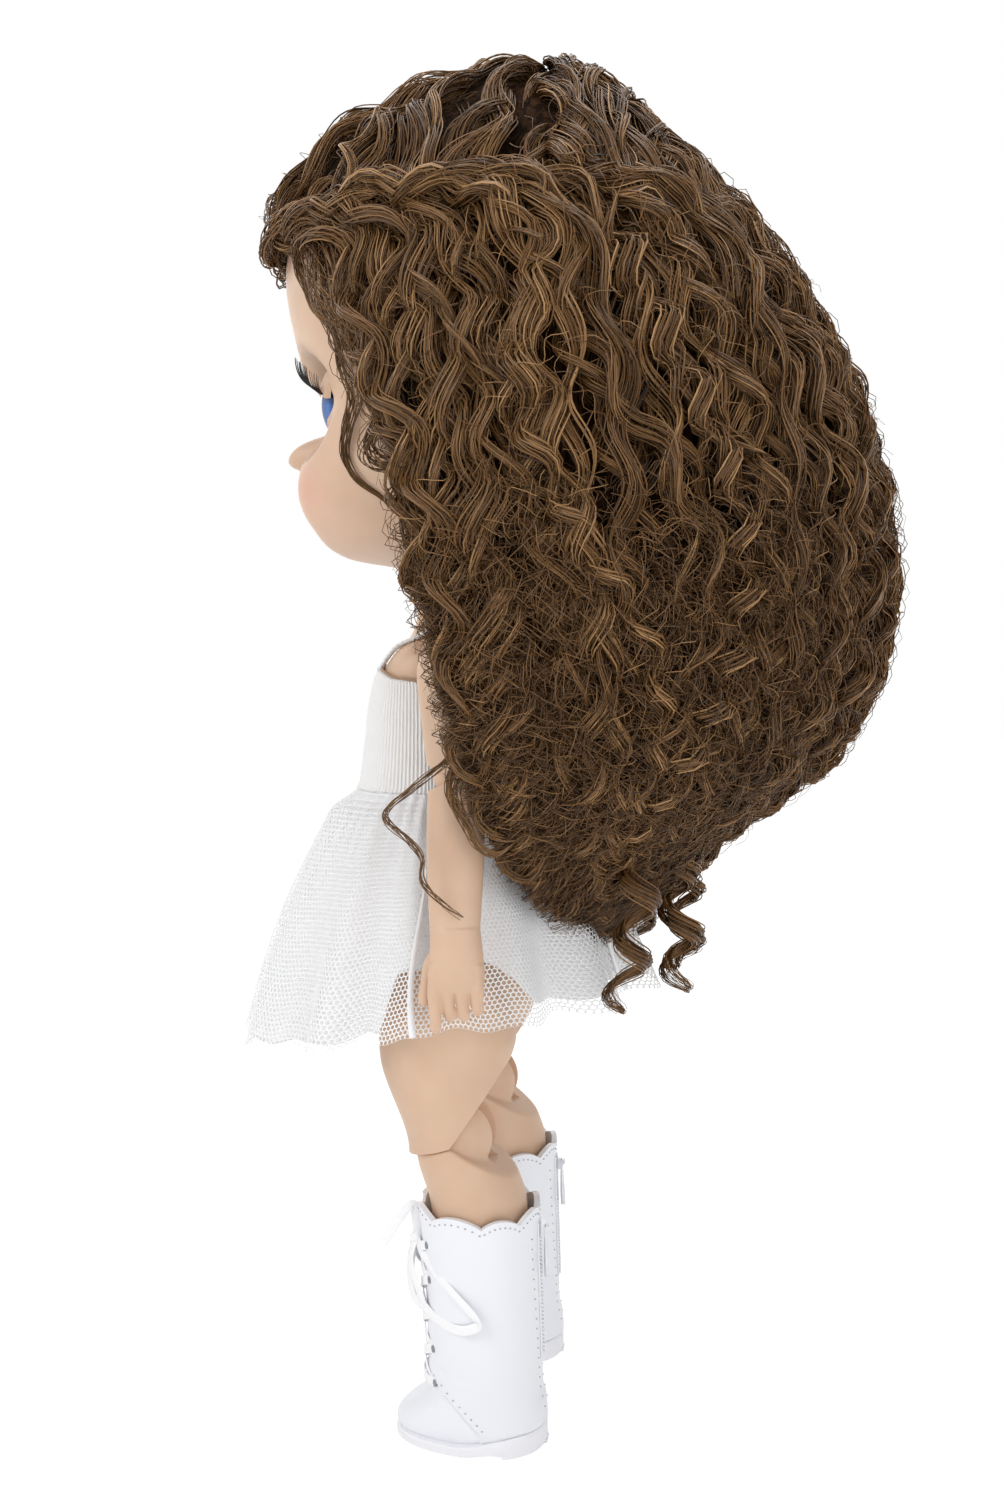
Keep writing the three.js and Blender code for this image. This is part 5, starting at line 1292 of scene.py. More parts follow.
def bootUpperForm():
    turn = ringTurns(upper["points"])
    low = soleTop(bootPlace(turn, np.full(len(turn), 4.0))[:, 1])
    rings = []
    for v in np.linspace(0, 1, upper["rows"]):
        z = low + v * (rimHeight(turn) - low)
        x, y, _ = bootPlace(turn, z).T
        rings.append(bootPlace(turn, z, bootRelief(x, y, z)))
    wall = boot["wall"]
    bottom = bootPlace(turn, 3.6 + 0 * turn, -wall - 0.6)
    bottom[:, 2] = np.maximum(3.7, soleTop(bottom[:, 1]) + 0.5)
    hollow = [bootPlace(turn, z, -wall) for z in np.linspace(6.4, boot["height"] + 2, upper["lining"])]
    return cut(loftForm(rings), loftForm([bottom, *hollow]))


# The sole's outline at rings that grow or shrink it by so much, each at heights worked out from Y
def soleForm():
    half, tread = boot["halfWidth"] * sole["share"], sole["tread"]
    base = ringPoints(0, 0, 0, half, boot["front"], boot["rear"], sole["points"], boot["power"])
    centre = np.array((0, sole["centreY"], 0))

    def outline(grow, heights):
        ring = centre + (base - centre) * (1 + grow / 16)
        ring[:, 2] = heights(ring[:, 1])
        return ring

    def underside(y):
        return tread + sole["arch"] * np.clip(1 - np.abs(y - sole["archY"]) / 5.5, 0, 1)

    form = loftForm([
        outline(-0.7, underside), outline(-0.15, lambda y: underside(y) + 0.25),
        outline(0.0, lambda y: underside(y) + 0.7), outline(-0.05, lambda y: soleTop(y) * 0.6 + 0.4),
        outline(0.0, lambda y: soleTop(y) - 0.45), outline(-0.3, lambda y: soleTop(y) - 0.08),
        outline(-1.0, soleTop),
    ])
    heel = loftForm([outline(-0.6, lambda y: y * 0 + tread), outline(-0.1, lambda y: y * 0 + tread + 0.3),
                     outline(-0.05, lambda y: y * 0 + 3.0)])
    combine(heel, "INTERSECT", blockForm(-20, 20, boot["heelStepY"], 20, -1, 4))
    joined(form, heel)
    lugs = []
    for y in np.arange(-17.5, 12.0, 2.1):
        if -2.5 < y < 4.6:  # no lugs under the arch
            continue
        reach = 1 - (abs(y) / (boot["front"] if y < 0 else boot["rear"])) ** boot["power"]
        span = half * reach ** (1 / boot["power"]) - 2.4
        for x in ((-span, span) if span < 3.5 else (-span, -span / 3, span / 3, span)):
            lugs.append(rodForm((x, y, 0), (x, y, tread + 0.3), sole["lug"], 0.75, 16))
    return joined(form, *lugs)


def capsules(points, directions, length, radius):
    lofts = []
    t = np.linspace(-0.5, 0.5, 5)
    scale = np.sqrt(1.02 - 4 * t * t) + 0.1
    for p, d in zip(points, directions):
        line = p + np.outer(t * length, d)
        lofts.append(closedLoft(swept(line, circleSection(radius, 6), (0.1, 0.7, 0.7), scale=scale)))
    return lofts


# Short stitches along the scallops, the toe seam and the two rear seams
def bootStitches():
    places = [(turn, rimHeight(turn) - 1.25) for turn in np.arange(0.06, 2 * np.pi, 0.1)]
    for way in (1, -1):
        rows = [(z, np.interp(z, [8, 39, 50], [1.36, 1.15, 1.1])) for z in np.arange(8.5, 48, 2.2)]
        for z in np.arange(6.6, 16.5, 1.15):
            share = min(seamAt(z) + 1.7, -0.01) / float(bootSizes(z)[1])
            rows.append((z, -math.asin(min(-share, 0.97))))
        places += [(lean if way > 0 else np.pi - lean, z) for z, lean in rows]
    turns, heights = np.array(places).T
    x, y, _ = bootPlace(turns, heights).T
    p = bootPlace(turns, heights, bootRelief(x, y, heights) + 0.02)
    along = unit(bootPlace(turns + 0.02, heights) - bootPlace(turns, heights))
    return formFrom(*gathered(capsules(p, along, 0.5, 0.17)))


def frontPlace(x, z, out):
    w, f, _ = bootSizes(z)
    p = boot["power"]
    return -(f + out) * np.clip(1 - (np.abs(x) / (w + out)) ** p, 0.02, 1) ** (1 / p)


# A flat ribbon: its width lies along "side", or its face looks that way where "faced"
def ribbonLoft(line, side, faced=False):
    half, flat = lacing["width"] / 2, lacing["thick"] / 2
    section = [(-half, -flat * 0.4), (-half * 0.9, -flat), (half * 0.9, -flat), (half, -flat * 0.4),
               (half, flat * 0.4), (half * 0.9, flat), (-half * 0.9, flat), (-half, flat * 0.4)]
    if faced:
        section = [(-b, a) for a, b in section]
    return closedLoft(swept(line, section, side))


# The ribbon straight across at the lowest eyelets and crossed above them, the bow and its knot
def laceLofts(c):
    lofts = []
    levels, reach, outward = c["levels"], c["reach"], c["outward"]
    x = np.linspace(-reach, reach, 40)
    for low, high in [(0, 0)] + [(i, i + 1) for i in range(len(levels) - 1)]:
        for way in ((1,) if low == high else (1, -1)):
            z = np.interp(x * way, [-reach, reach], [levels[low], levels[high]])
            ends = np.clip((np.abs(x) - reach + 1.0) / 1.0, 0, 1)
            out = 0.75 + (0.3 if way > 0 else 0.0) - 0.9 * ends + 0.25 * np.cos(x / reach * np.pi)
            lofts.append(ribbonLoft(np.column_stack([x, frontPlace(x, z, out), z]), (0, 0, 1)))
    inward = (-outward[0], *outward[1:])
    for part, steps, side in (("nearLoop", 90, outward), ("smallLoop", 70, outward), ("farLoop", 70, inward),
                              ("springing", 40, (1, 0, 0.1)), ("hanging", 40, (0.5, -0.85, 0.1))):
        lofts.append(ribbonLoft(smoothLine(c[part], steps), side, True))
    knotX, knotY, knotZ = c["knot"]
    lofts.append(closedLoft([ringPoints(knotX, knotY, knotZ + 1.3 * math.sin(a), *[1.5 * math.cos(a)] * 3, 24)
                             for a in np.linspace(-1.45, 1.45, 12)]))
    return lofts


def eyeletForms(c):
    lofts = []
    turn = np.linspace(0, 2 * np.pi, 25)[:-1]
    for z in c["levels"]:
        for way in (1, -1):
            x = way * (c["reach"] + 0.15)
            y = float(frontPlace(np.array(x), z, 0.35))
            w, f, _ = bootSizes(z)
            normal = unit(np.array((x / float(w) ** 2, y / float(f) ** 2, 0)))
            side = np.cross(normal, (0, 0, 1))
            wide, tall = c["eyelet"]
            ring = np.outer(np.cos(turn), side) * wide + np.outer(np.sin(turn), (0, 0, tall)) + (x, y, z)
            lofts.append(closedLoft(np.array([ring - normal * 0.3, ring + normal * 0.12])))
    return formFrom(*gathered(lofts))


def rearPlace(z, out):
    return bootSizes(z)[2] + out


# Two tapes with teeth that stand in turn on either side of the middle
def zipLofts(c):
    z = np.linspace(c["low"], c["high"], 60)
    a, b = c["tapeHalf"]
    lofts = []
    for x in (-c["tapeX"], c["tapeX"]):
        line = np.column_stack([np.full(60, x), rearPlace(z, 0.42), z])
        lofts.append(closedLoft(swept(line, [(-a, -b), (a, -b), (a, b), (-a, b)], (1, 0, 0))))
    for number, tooth in enumerate(np.arange(c["low"] + 0.4, c["high"] - 1.5, c["pitch"] / 2)):
        way = 1 if number % 2 else -1
        y = float(rearPlace(tooth, 0.72))
        line = np.array([(way * x, y, tooth) for x in (-0.28, 0.2, 0.62)])
        lofts.append(closedLoft(swept(line, circleSection(c["tooth"], 6), (0, 0, 1), scale=[0.7, 1, 1])))
    return lofts


# Slider body with a hanging drop-shaped pull
def pullForm(c):
    top = c["high"] - 1.6
    y = float(rearPlace(top, 1.25))
    slider = joined(blockForm(-1.15, 1.15, y - 0.5, y + 0.35, top - 1.5, top + 1.2),
                    rodForm((-0.7, y + 0.75, top + 0.1), (0.7, y + 0.75, top + 0.1), 0.55))
    t = np.linspace(0, 1, 60)
    neckHalf, widest, w = c["pullNeck"], c["pullHalf"], c["widest"]
    above = neckHalf + (widest - neckHalf) * (t / w) ** 1.6
    below = widest * np.sqrt(np.clip(1 - ((t - w) / (1 - w)) ** 2, 0.003, 1))
    half = np.where(t < w, above, below)
    thick = 0.3 + 0.25 * np.clip(t / 0.7, 0, 1)
    z = top - t * c["pullLength"]
    swing = rearPlace(z, 1.75) + 0.15 * t
    turn = np.linspace(0, 2 * np.pi, 25)[:-1]
    rings = [np.column_stack([h * np.cos(turn), yy + k * np.sin(turn), np.full(24, zz)])
             for h, k, yy, zz in zip(half, thick, swing, z)]
    return joined(slider, loftForm(rings))


def buildBoots():
    hide = grained("bootLeather", leather["colour"], 0.42, 1400, 0.12, 0.00006, Coat_Weight=0.08)
    rubber = grained("soleRubber", leather["sole"], 0.5, 700, 0.1, 0.00006)
    dot = mottled("stitchThread", *leather["stitch"], 0.7, 300, 0.1)
    satin = grained("satinRibbon", fabrics["ribbon"], 0.3, 2600, 0.1, 0.00004, Sheen_Weight=0.3,
                    Anisotropic=0.4)
    hole = mottled("eyeletShade", *leather["eyelet"], 0.6, 300, 0.05)
    metal = mottled("paintedZinc", *leather["pull"], 0.32, 400, 0.04, Metallic=0.35)
    pieces = [  # form, node it stands for, name, material, slot, sharp angle
        (bootUpperForm(), "boot_upper", "bootUpper", hide, "boot_vinyl", 50),
        (soleForm(), "boot_sole", "bootSole", rubber, "boot_vinyl", 40),
        (bootStitches(), None, "bootStitches", dot, "boot_vinyl", 60),
        (eyeletForms(lacing), None, "bootEyelets", hole, "boot_vinyl", 40),
        (formFrom(*gathered(laceLofts(lacing))), "boot_lace", "bootLace", satin, "ribbon", 60),
        (formFrom(*gathered(zipLofts(zipper))), "boot_zip", "bootZip", rubber, "boot_vinyl", 40),
        (pullForm(zipper), "zip_pull", "zipPull", metal, "steel", 40),
    ]
    for form, node, name, material, slot, sharp in pieces:
        form.data.transform(Matrix.Translation((knee["x"] * mm, 0, 0)))
        twin = mirroredCopy(form)
        for half, piece in (("left", form), ("right", twin)):
            nodes = [f"{node}_{half}"] if node else []
            dress(piece, name + half.capitalize(), material, f"calf_{half}", nodes, sharp)


buildBoots()
print("boots are built")


# Hair

hair = {
    "top": 292.5, "bottom": 104, "halfWidth": 66, "frontReach": 62.5, "rearReach": 75.5, "centreY": 12,
    "form": [  # height share, half-width share, front share, rear share
        [0, 0.16, 0.1, 0.14], [0.06, 0.4, 0.2, 0.34], [0.14, 0.66, 0.4, 0.55], [0.22, 0.86, 0.6, 0.8],
        [0.32, 0.97, 0.75, 0.93], [0.42, 1, 0.85, 0.96], [0.52, 1, 0.9, 0.93], [0.62, 0.97, 0.95, 0.855],
        [0.72, 0.9, 0.99, 0.72], [0.8, 0.81, 1, 0.565], [0.87, 0.67, 0.91, 0.4], [0.93, 0.48, 0.72, 0.245],
        [0.975, 0.26, 0.42, 0.12], [1, 0.06, 0.1, 0.04],
    ],
    "edge": [  # height, and Y of the front edge there
        [100, 31], [104, 28], [111.5, 16], [126.6, 6], [145.5, -1], [171.9, -6], [196.4, -13.7],
        [220.9, -23.5], [241.6, -30.3], [250.1, -37.8], [256, -62], [300, -62],
    ],
    "least": 1.5, "fibreRadius": 0.17, "strandRadius": 0.12, "freeStep": 0.9, "looseTone": 0.62,
    "levels": [110, 170, 215, 260],  # heights at which a lock's wave and size are given
    "fall": {"start": (0, 0, 0.186), "end": (0, 0, 0.135)},  # from the head's turn to the neck's
    "colours": [(0.0, (20, 10, 4)), (0.4, (80, 54, 28)), (0.75, (126, 91, 54)), (1.0, (170, 131, 87))],
}


# Colour by each fibre's tone, from the deepest to the lightest brown; the tone holds random differences and
# painted shade
def hairMaterial(c):
    material, tree, shader = newMaterial("curledFibre", (100, 75, 50), 0.36, Specular_IOR_Level=0.3)
    colour = addRamp(tree, attributeNode(tree, "tone").outputs["Fac"], c["colours"])
    tree.links.new(colour, shader.inputs["Base Color"])
    return material


def maneAt(z, depth=0.0):
    share = (np.asarray(z, float) - hair["bottom"]) / (hair["top"] - hair["bottom"])
    form = tableAt(hair["form"], np.clip(share, 0, 1))
    return [np.maximum(form[..., k] * hair[size] - depth, hair["least"])
            for k, size in enumerate(("halfWidth", "frontReach", "rearReach"))]


# Place on the mane: side sign, share round from the face's edge (0) to the back (1), height and depth
def manePoint(side, share, z, depth):
    width, front, rear = maneAt(z, depth)
    edge = np.array(hair["edge"])
    edgeY = np.interp(z, edge[:, 0], edge[:, 1]) - hair["centreY"]
    start = np.arcsin(np.clip(np.where(edgeY < 0, edgeY / front, edgeY / rear), -1, 0.95))
    turn = start + share * (np.pi / 2 - start)
    s = np.sin(turn)
    return np.stack([side * width * np.cos(turn), hair["centreY"] + np.where(s < 0, front, rear) * s,
                     np.broadcast_to(z, np.shape(s)).astype(float)], -1)


def resample(path, step):
    length = np.concatenate([[0], np.cumsum(np.linalg.norm(np.diff(path, axis=0), axis=1))])
    count = max(int(length[-1] / step), 4)
    at = np.linspace(0, length[-1], count)
    return np.stack([np.interp(at, length, path[:, k]) for k in range(3)], -1), at


# Unit directions at each point of a path on the mane: along it, outward from the head and across both
def maneFrame(path):
    tangent = unit(np.gradient(path, axis=-2))
    outward = unit(path * (1, 1, 0.25) - (0, hair["centreY"], 45))
    return tangent, outward, unit(np.cross(tangent, outward))


# Places of a bundle's fibres over its round section, as columns from -1 to 1
def bundleSpread(local, count):
    a = np.sqrt(local.uniform(0, 1, count)) * np.exp(1j * local.uniform(0, 2 * np.pi, count))
    return a.real[:, None], a.imag[:, None]


# Fibre radius along a path that thins over its last "reach" mm, never under "least" of it
def tapered(along, radius, reach, least):
    return radius * np.clip((along[-1] - along) / reach, least, 1)[None]


# Thin three-sided tubes along fibre paths, fibres x points x 3
def fibreTubes(paths, radius):
    tangent, _, across = maneFrame(paths)
    up = np.cross(across, tangent)
    rings = [paths + radius[..., None] * (math.cos(a) * across + math.sin(a) * up) for a in (0.5, 2.6, 4.7)]
    points = np.stack(rings, 2)
    f, p = paths.shape[:2]
    base = np.arange(f)[:, None, None] * p * 3 + np.arange(p - 1)[None, :, None] * 3
    j = np.arange(3)[None, None, :]
    k = (j + 1) % 3
    quads = np.stack([base + j, base + k, base + k + 3, base + j + 3], -1).reshape(-1, 4)
    return points.reshape(-1, 3), quads


sectionLimits = {"crown": 264, "fringe": 252, "fall": 186, "frontY": -16, "backY": 34}


def sectionOf(x, y, z):
    k = sectionLimits
    if z > k["crown"]:
        return "hair_fringe" if y < k["frontY"] else "hair_crown"
    if z > k["fringe"] and y < k["frontY"]:
        return "hair_fringe"
    base = "hair_side" if z > k["fall"] else "hair_fall"
    if y > k["backY"]:
        return "hair_back" if z > k["fall"] else "hair_fall_back"
    return f"{base}_left" if x > 0 else f"{base}_right"


# Fibres of each hair section: a run of fibres is cut where its spine passes from one section to the next
def addRun(fibres, spine, paths, radius, tone):
    names = [sectionOf(*p) for p in spine]
    start = 0
    for i in range(1, len(names) + 1):
        if i == len(names) or names[i] != names[start]:
            end = min(i + 1, len(names))
            if end - start > 2:
                run = (paths[:, start:end], radius[:, start:end], tone)
                fibres.setdefault(names[start], []).append(run)
            start = i


# One lock: a spine on the mane, waved, with fibres spread over its flat section
def addLock(fibres, spine, c, count, phase, seed):
    local = np.random.default_rng(seed)
    path, along = resample(spine, c["step"])
    tangent, _, across = maneFrame(path)
    lift = np.cross(across, tangent)

    def level(key):
        return np.interp(path[:, 2], hair["levels"], c[key])

    waveLength = level("waveLength") * local.uniform(0.8, 1.5)
    sway = level("sway") * local.uniform(0.4, 1.15)
    width = level("width") * local.uniform(0.7, 1.2)
    thick = level("thick")
    ease = np.clip(along / 12, 0, 1)
    theta = phase + np.cumsum(2 * np.pi * c["step"] / waveLength)
    closeUp = np.interp(along / along[-1], [0, 0.08, 0.8, 1], [0.6, 1, 0.9, 0.35])
    spread, height = bundleSpread(local, count)
    lag = local.normal(0, c["lag"], count)[:, None] + 0.5 * spread * local.choice([-1, 1])
    strength = (1 + local.normal(0, 0.08, count))[:, None]
    wander = local.normal(0, 1, (count, 3, 2))
    drift = c["drift"] * sum(
        wander[:, k, :1] * np.sin(along[None] / (9 + 6 * k) + wander[:, k, 1:] * 3) for k in range(3))
    twist = local.uniform(0, 6.28) + along[None] / c["twist"]
    flat = spread * np.cos(twist) * 0.25 + spread * 0.75
    shift = sway * ease * strength * np.sin(theta[None] + lag) + flat * width / 2 * closeUp + drift
    hand = local.choice([-1, 1])
    lifted = (sway * c["round"] * hand * ease * strength * np.cos(theta[None] + lag)
              + (height * thick / 2 + spread * np.sin(twist) * thick / 3) * closeUp + drift * 0.4)
    paths = path[None] + shift[..., None] * across[None] + lifted[..., None] * lift[None]
    radius = tapered(along, hair["fibreRadius"], 10, 0.35) * local.uniform(0.6, 1.2, (count, 1))
    # tone: random for each fibre, plus painted shade: lighter for fibres on the lock's outer side, and each
    # layer's base darker further in
    tone = c["tone"] + 0.16 * local.normal(size=count) + 0.12 * height[:, 0] + local.normal(0, 0.06)
    addRun(fibres, path, paths, radius, np.clip(tone, 0.02, 1))


lockShape = {
    "lag": 0.17, "drift": 0.22, "twist": 14.0, "round": 0.8, "tops": (291.4, 281, 267, 248), "highest": 300,
}
# The middle and inner layers take a darker tone: painted shade under the outer locks
lockLayers = {
    "outer": {
        **lockShape, "locks": 60, "fibres": 26, "depth": (0.6, 6.5), "step": 1.8, "tone": 0.62, "low": 104,
        "waveLength": (11, 13, 16, 20), "sway": (2.2, 2.6, 2.9, 2.6), "width": (2.8, 3.8, 4.8, 5.6),
        "thick": (2.2, 2.6, 2.8, 2.6), "seed": 510,
    },
    "crown": {
        **lockShape, "locks": 22, "fibres": 24, "depth": (0.2, 3.0), "step": 1.8, "tone": 0.55, "low": 224,
        "waveLength": (11, 13, 15, 17), "sway": (2.2, 2.6, 2.6, 2.3), "width": (2.8, 3.8, 4.8, 5.6),
        "thick": (2.2, 2.6, 2.8, 2.6), "tops": (291.6, 289.5, 286, 281), "seed": 511,
    },
    "middle": {
        **lockShape, "locks": 44, "fibres": 20, "depth": (6, 11), "step": 2.3, "tone": 0.36, "low": 110,
        "waveLength": (12, 14, 17, 21), "sway": (2.4, 2.8, 2.9, 2.6), "width": (3.2, 4.4, 5.6, 6.4),
        "thick": (2.4, 2.8, 3.0, 2.8), "lag": 0.18, "seed": 611,
    },
    "inner": {
        **lockShape, "locks": 30, "fibres": 14, "depth": (12, 22), "step": 3.5, "tone": 0.25, "low": 110,
        "waveLength": (14, 17, 22, 26), "sway": (3.0, 3.2, 3.3, 3.0), "width": (5.0, 7.0, 8.0, 8.0),
        "thick": (3.0, 3.0, 3.0, 2.6), "lag": 0.25, "drift": 0.3, "twist": 9.0, "highest": 245, "seed": 510,
    },
}


# Locks are set evenly round each side, more of them starting lower down where the mane is wider
def layLocks(fibres, c, thin):
    local = np.random.default_rng(c["seed"])
    total, count = c["locks"], max(int(c["fibres"] * thin), 6)
    for side in (1, -1):
        for i in range(total):
            share = (i + local.uniform(0.15, 0.85)) / total
            depth = local.uniform(*c["depth"])
            rank = i % 4
            top = min(c["tops"][rank] + local.uniform(-4, 1), c["highest"])
            low = c["low"] + 22 * local.uniform(0, 1) ** 2
            low += 26 * max(share - 0.55, 0) + 10 * (local.uniform() < 0.3) * local.uniform(1, 4)
            heights = np.concatenate([np.linspace(top, 257, 60), np.linspace(256.9, 250, 30),
                                      np.linspace(249.9, low, 90)])
            heights = np.sort(heights[heights <= top])[::-1]
            sway = local.uniform(0.015, 0.06) * np.sin(heights / local.uniform(13, 30) + local.uniform(0, 6))
            sway += local.uniform(-0.07, 0.05) * (top - heights) / 190
            sunk = depth + 3.5 * (heights > top - 8) * (rank > 0) * (heights - top + 8) / 8
            nearest = np.interp(heights, [186, 200, 248, 257], [0.02, 0.06, 0.06, 0.004])  # clear of the face
            spine = manePoint(side, np.clip(share + sway, nearest, 1), heights, sunk)
            phase = 2.4 * math.sin(share * 9 + side) + local.uniform(-2.2, 2.2)
            addLock(fibres, spine, c, count, phase, int(local.integers(1 << 30)))


frizzLayers = {
    "halo": {"count": 1700, "length": (9, 34), "radius": 0.085, "curl": (1.0, 2.8), "pitch": (5, 11),
             "tone": 0.6, "z": (112, 170), "skew": (1.3, 1.9), "share": (0, 1), "out": (-1.5, 3.0),
             "slope": 0.16},
    "cloud": {"count": 3000, "length": (12, 38), "radius": 0.085, "curl": (1.4, 3.4), "pitch": (4, 8),
              "tone": 0.46, "z": (112, 92), "skew": (1.5, 1.6), "share": (0, 0.62), "out": (-3.5, 2.5),
              "slope": 0.3},
}


# Loose single fibres that curl over the surface: a thin halo, and a cloud in the lower front half
def layFrizz(fibres, c, thin):
    local = np.random.default_rng(c["count"])
    down = np.linspace(0, 1, 30)
    for i in range(int(c["count"] * thin)):
        side = 1 if i % 2 else -1
        z = c["z"][0] + c["z"][1] * local.beta(*c["skew"])
        share = local.uniform(*c["share"])
        length = local.uniform(*c["length"])
        heights = np.clip(np.linspace(z, z - length * local.uniform(0.3, 0.9), 30), hair["bottom"], None)
        slope = local.uniform(-c["slope"], c["slope"])
        depth = -local.uniform(*c["out"]) * np.linspace(0.6, 1, 30) + 2.0
        path, along = resample(manePoint(side, np.clip(share + slope * down, 0.0, 1), heights, depth),
                               hair["freeStep"])
        curl, pitch = local.uniform(*c["curl"]), local.uniform(*c["pitch"])
        theta = local.uniform(0, 6.28) + 2 * np.pi * along / pitch
        swing = (curl * np.clip(along / 4, 0.2, 1))[:, None]
        _, outward, across = maneFrame(path)
        paths = path + swing * np.sin(theta)[:, None] * across
        paths = paths + swing * 0.8 * np.cos(theta)[:, None] * outward
        tone = np.clip(c["tone"] + local.normal(0, 0.15), 0, 1)
        addRun(fibres, path, paths[None], tapered(along, c["radius"], 4, 0.5), np.array([tone]))


# Curls that hang free, each a bundle of fibres wound about its own line, in mm
freeCurls = {
    "ringlet_left": {"line": [(36, 33, 134), (33, 31, 112), (31, 28, 96.5)], "fibres": 40, "curl": 3.3,
                     "pitch": 12.5, "spread": 1.7},
    "ringlet_rear_left": {"line": [(20, 38, 134), (16, 40, 112), (14, 40, 97)], "fibres": 44, "curl": 3.5,
                          "pitch": 13, "spread": 1.9},
    "ringlet_rear_right": {"line": [(-16, 38, 134), (-13, 41, 112), (-11, 41, 96)], "fibres": 40, "curl": 3.4,
                           "pitch": 12, "spread": 1.8},
    "ringlet_right": {"line": [(-36, 33, 134), (-33, 31, 112), (-31, 29, 96.5)], "fibres": 40, "curl": 3.4,
                      "pitch": 13, "spread": 1.7},
}


def layFreeCurls(fibres, curls):
    for number, (node, c) in enumerate(curls.items()):
        local = np.random.default_rng(number + 61)
        line, count = np.array(c["line"], float), c["fibres"]
        t = np.linspace(0, 1, 40)
        spine = np.stack([np.interp(t, np.linspace(0, 1, len(line)), line[:, k]) for k in range(3)], -1)
        path, along = resample(spine, hair["freeStep"])
        left = along[-1] - along
        theta = number * 1.7 + 2 * np.pi * along / c["pitch"]
        ease = np.clip(along / 9, 0.15, 1) * np.clip(left / 5 + 0.55, 0, 1)
        a, b = bundleSpread(local, count)
        lag = local.normal(0, 0.22, count)[:, None]
        reach = (c["curl"] + a * c["spread"] * 0.6) * ease
        close = c["spread"] * np.clip(left / 6 + 0.35, 0, 1)
        paths = np.broadcast_to(path, (count, *path.shape)).copy()
        paths[..., 0] += reach * np.cos(theta + lag) + a * close * 0.5
        paths[..., 1] += reach * np.sin(theta + lag) + b * close * 0.5
        paths[..., 2] += b * close * 0.9
        radius = tapered(along, hair["fibreRadius"], 8, 0.4) * np.ones((count, 1))
        tone = np.clip(hair["looseTone"] + 0.14 * local.normal(size=count), 0.05, 1)
        fibres.setdefault(node, []).append((paths, radius, tone))


# Strands seen against the cheek and the arm: a line each, in mm, with a few fibres
looseStrands = {
    "cheekStrand": {
        "line": [(37, -33, 252), (33, -36.2, 245.5), (32.4, -35, 240), (33.6, -32.9, 235.3),
                 (38.2, -27.3, 228.8), (38.2, -26, 222.7), (39.6, -23.1, 217.2), (37.4, -25.1, 211.7),
                 (35, -26.5, 206.9), (34.7, -24.4, 202), (34.1, -19.9, 198.5),
                 (33.2, -16.5, 195.8), (32, -12.8, 193.5)],
        "fibres": 26, "spread": 1.5, "wave": 0.35,
    },
    "templeStrand": {
        "line": [(44.2, -17.4, 238.7), (44.9, -17, 231.6), (44.4, -17.6, 225.5), (43, -20.7, 220.3),
                 (42.5, -19.5, 215.5), (42, -18.2, 211.6), (40.4, -20.7, 207), (39.6, -18.9, 204.5),
                 (40.2, -15.2, 203.3), (40.3, -12.4, 200.7)],
        "fibres": 30, "spread": 1.9, "wave": 0.5,
    },
    "faceWisp": {
        "line": [(30.7, -37.5, 246.6), (34.6, -33.6, 240.7), (35.6, -32.2, 236.5), (38.6, -29, 232.3),
                 (40.2, -26.8, 226.8), (41, -24, 220.8)],
        "fibres": 16, "spread": 1.6, "wave": 0.7,
    },
    "browStrand": {
        "line": [(30.5, -35.5, 254.5), (33.8, -34, 249.3), (36.5, -32, 245.7), (37.6, -30.4, 242.7),
                 (37.9, -29.6, 239.6), (39.2, -28, 236.1), (40.6, -25.8, 232.7), (41.4, -23.6, 229),
                 (41.4, -22.8, 225.3), (42, -20.6, 221)],
        "fibres": 64, "spread": 3.6, "wave": 0.9,
    },
    "armWisp": {
        "line": [(46.5, 0, 152), (47, -4, 147), (47, -10.5, 141.8), (47.2, -16, 136.4), (47, -12, 132),
                 (46.8, -9, 128.5), (46.6, -9, 124), (46.6, -5, 119.5), (46.5, -1.5, 117)],
        "fibres": 9, "spread": 0.8, "wave": 0.4,
    },
    "armCurl": {
        "line": [(47, 2.5, 156), (47.5, 0.5, 150), (48.5, -2.2, 146), (49, -2.8, 141), (48.5, -0.5, 136),
                 (47.8, 1.5, 131.5), (47.5, 5, 129.3), (47.4, 8, 131)],
        "fibres": 34, "spread": 1.7, "wave": 0.5,
    },
}


def layStrand(fibres, c, number, side):
    local = np.random.default_rng(number + 91)
    line, count = np.array(c["line"], float) * (side, 1, 1), c["fibres"]
    rows = np.column_stack([np.linspace(0, 1, len(line)), line])
    path, along = resample(tableAt(rows, np.linspace(0, 1, 60)), hair["freeStep"])
    a, b = bundleSpread(local, count)
    close = c["spread"] * (0.55 + 0.45 * np.cos(along / 7 + number))
    close = close * np.clip((along[-1] - along) / 8 + 0.3, 0, 1)
    turn = local.uniform(0, 6.28, count)[:, None]
    paths = np.broadcast_to(path, (count, *path.shape)).copy()
    paths[..., 0] += side * np.abs(b) * close * 0.5
    paths[..., 1] += a * close + c["wave"] * np.sin(along / 3.1 + turn)
    paths[..., 2] += b * close + c["wave"] * np.cos(along / 3.7 + turn)
    radius = tapered(along, hair["strandRadius"], 6, 0.4) * np.ones((count, 1))
    tone = np.clip(hair["looseTone"] + 0.15 * local.normal(size=count), 0.05, 1)
    addRun(fibres, path, paths, radius, tone)


hairPieceNames = {
    "hair_fringe": "fringeLocks", "hair_crown": "crownLocks", "hair_back": "backLocks",
    "hair_side_left": "sideLocksLeft", "hair_side_right": "sideLocksRight", "hair_fall_back": "fallLocksBack",
    "hair_fall_left": "fallLocksLeft", "hair_fall_right": "fallLocksRight", "ringlet_left": "ringletLeft",
    "ringlet_rear_left": "ringletRearLeft", "ringlet_rear_right": "ringletRearRight",
    "ringlet_right": "ringletRight",
}
faceLimit = 190000
chartColumns = 256
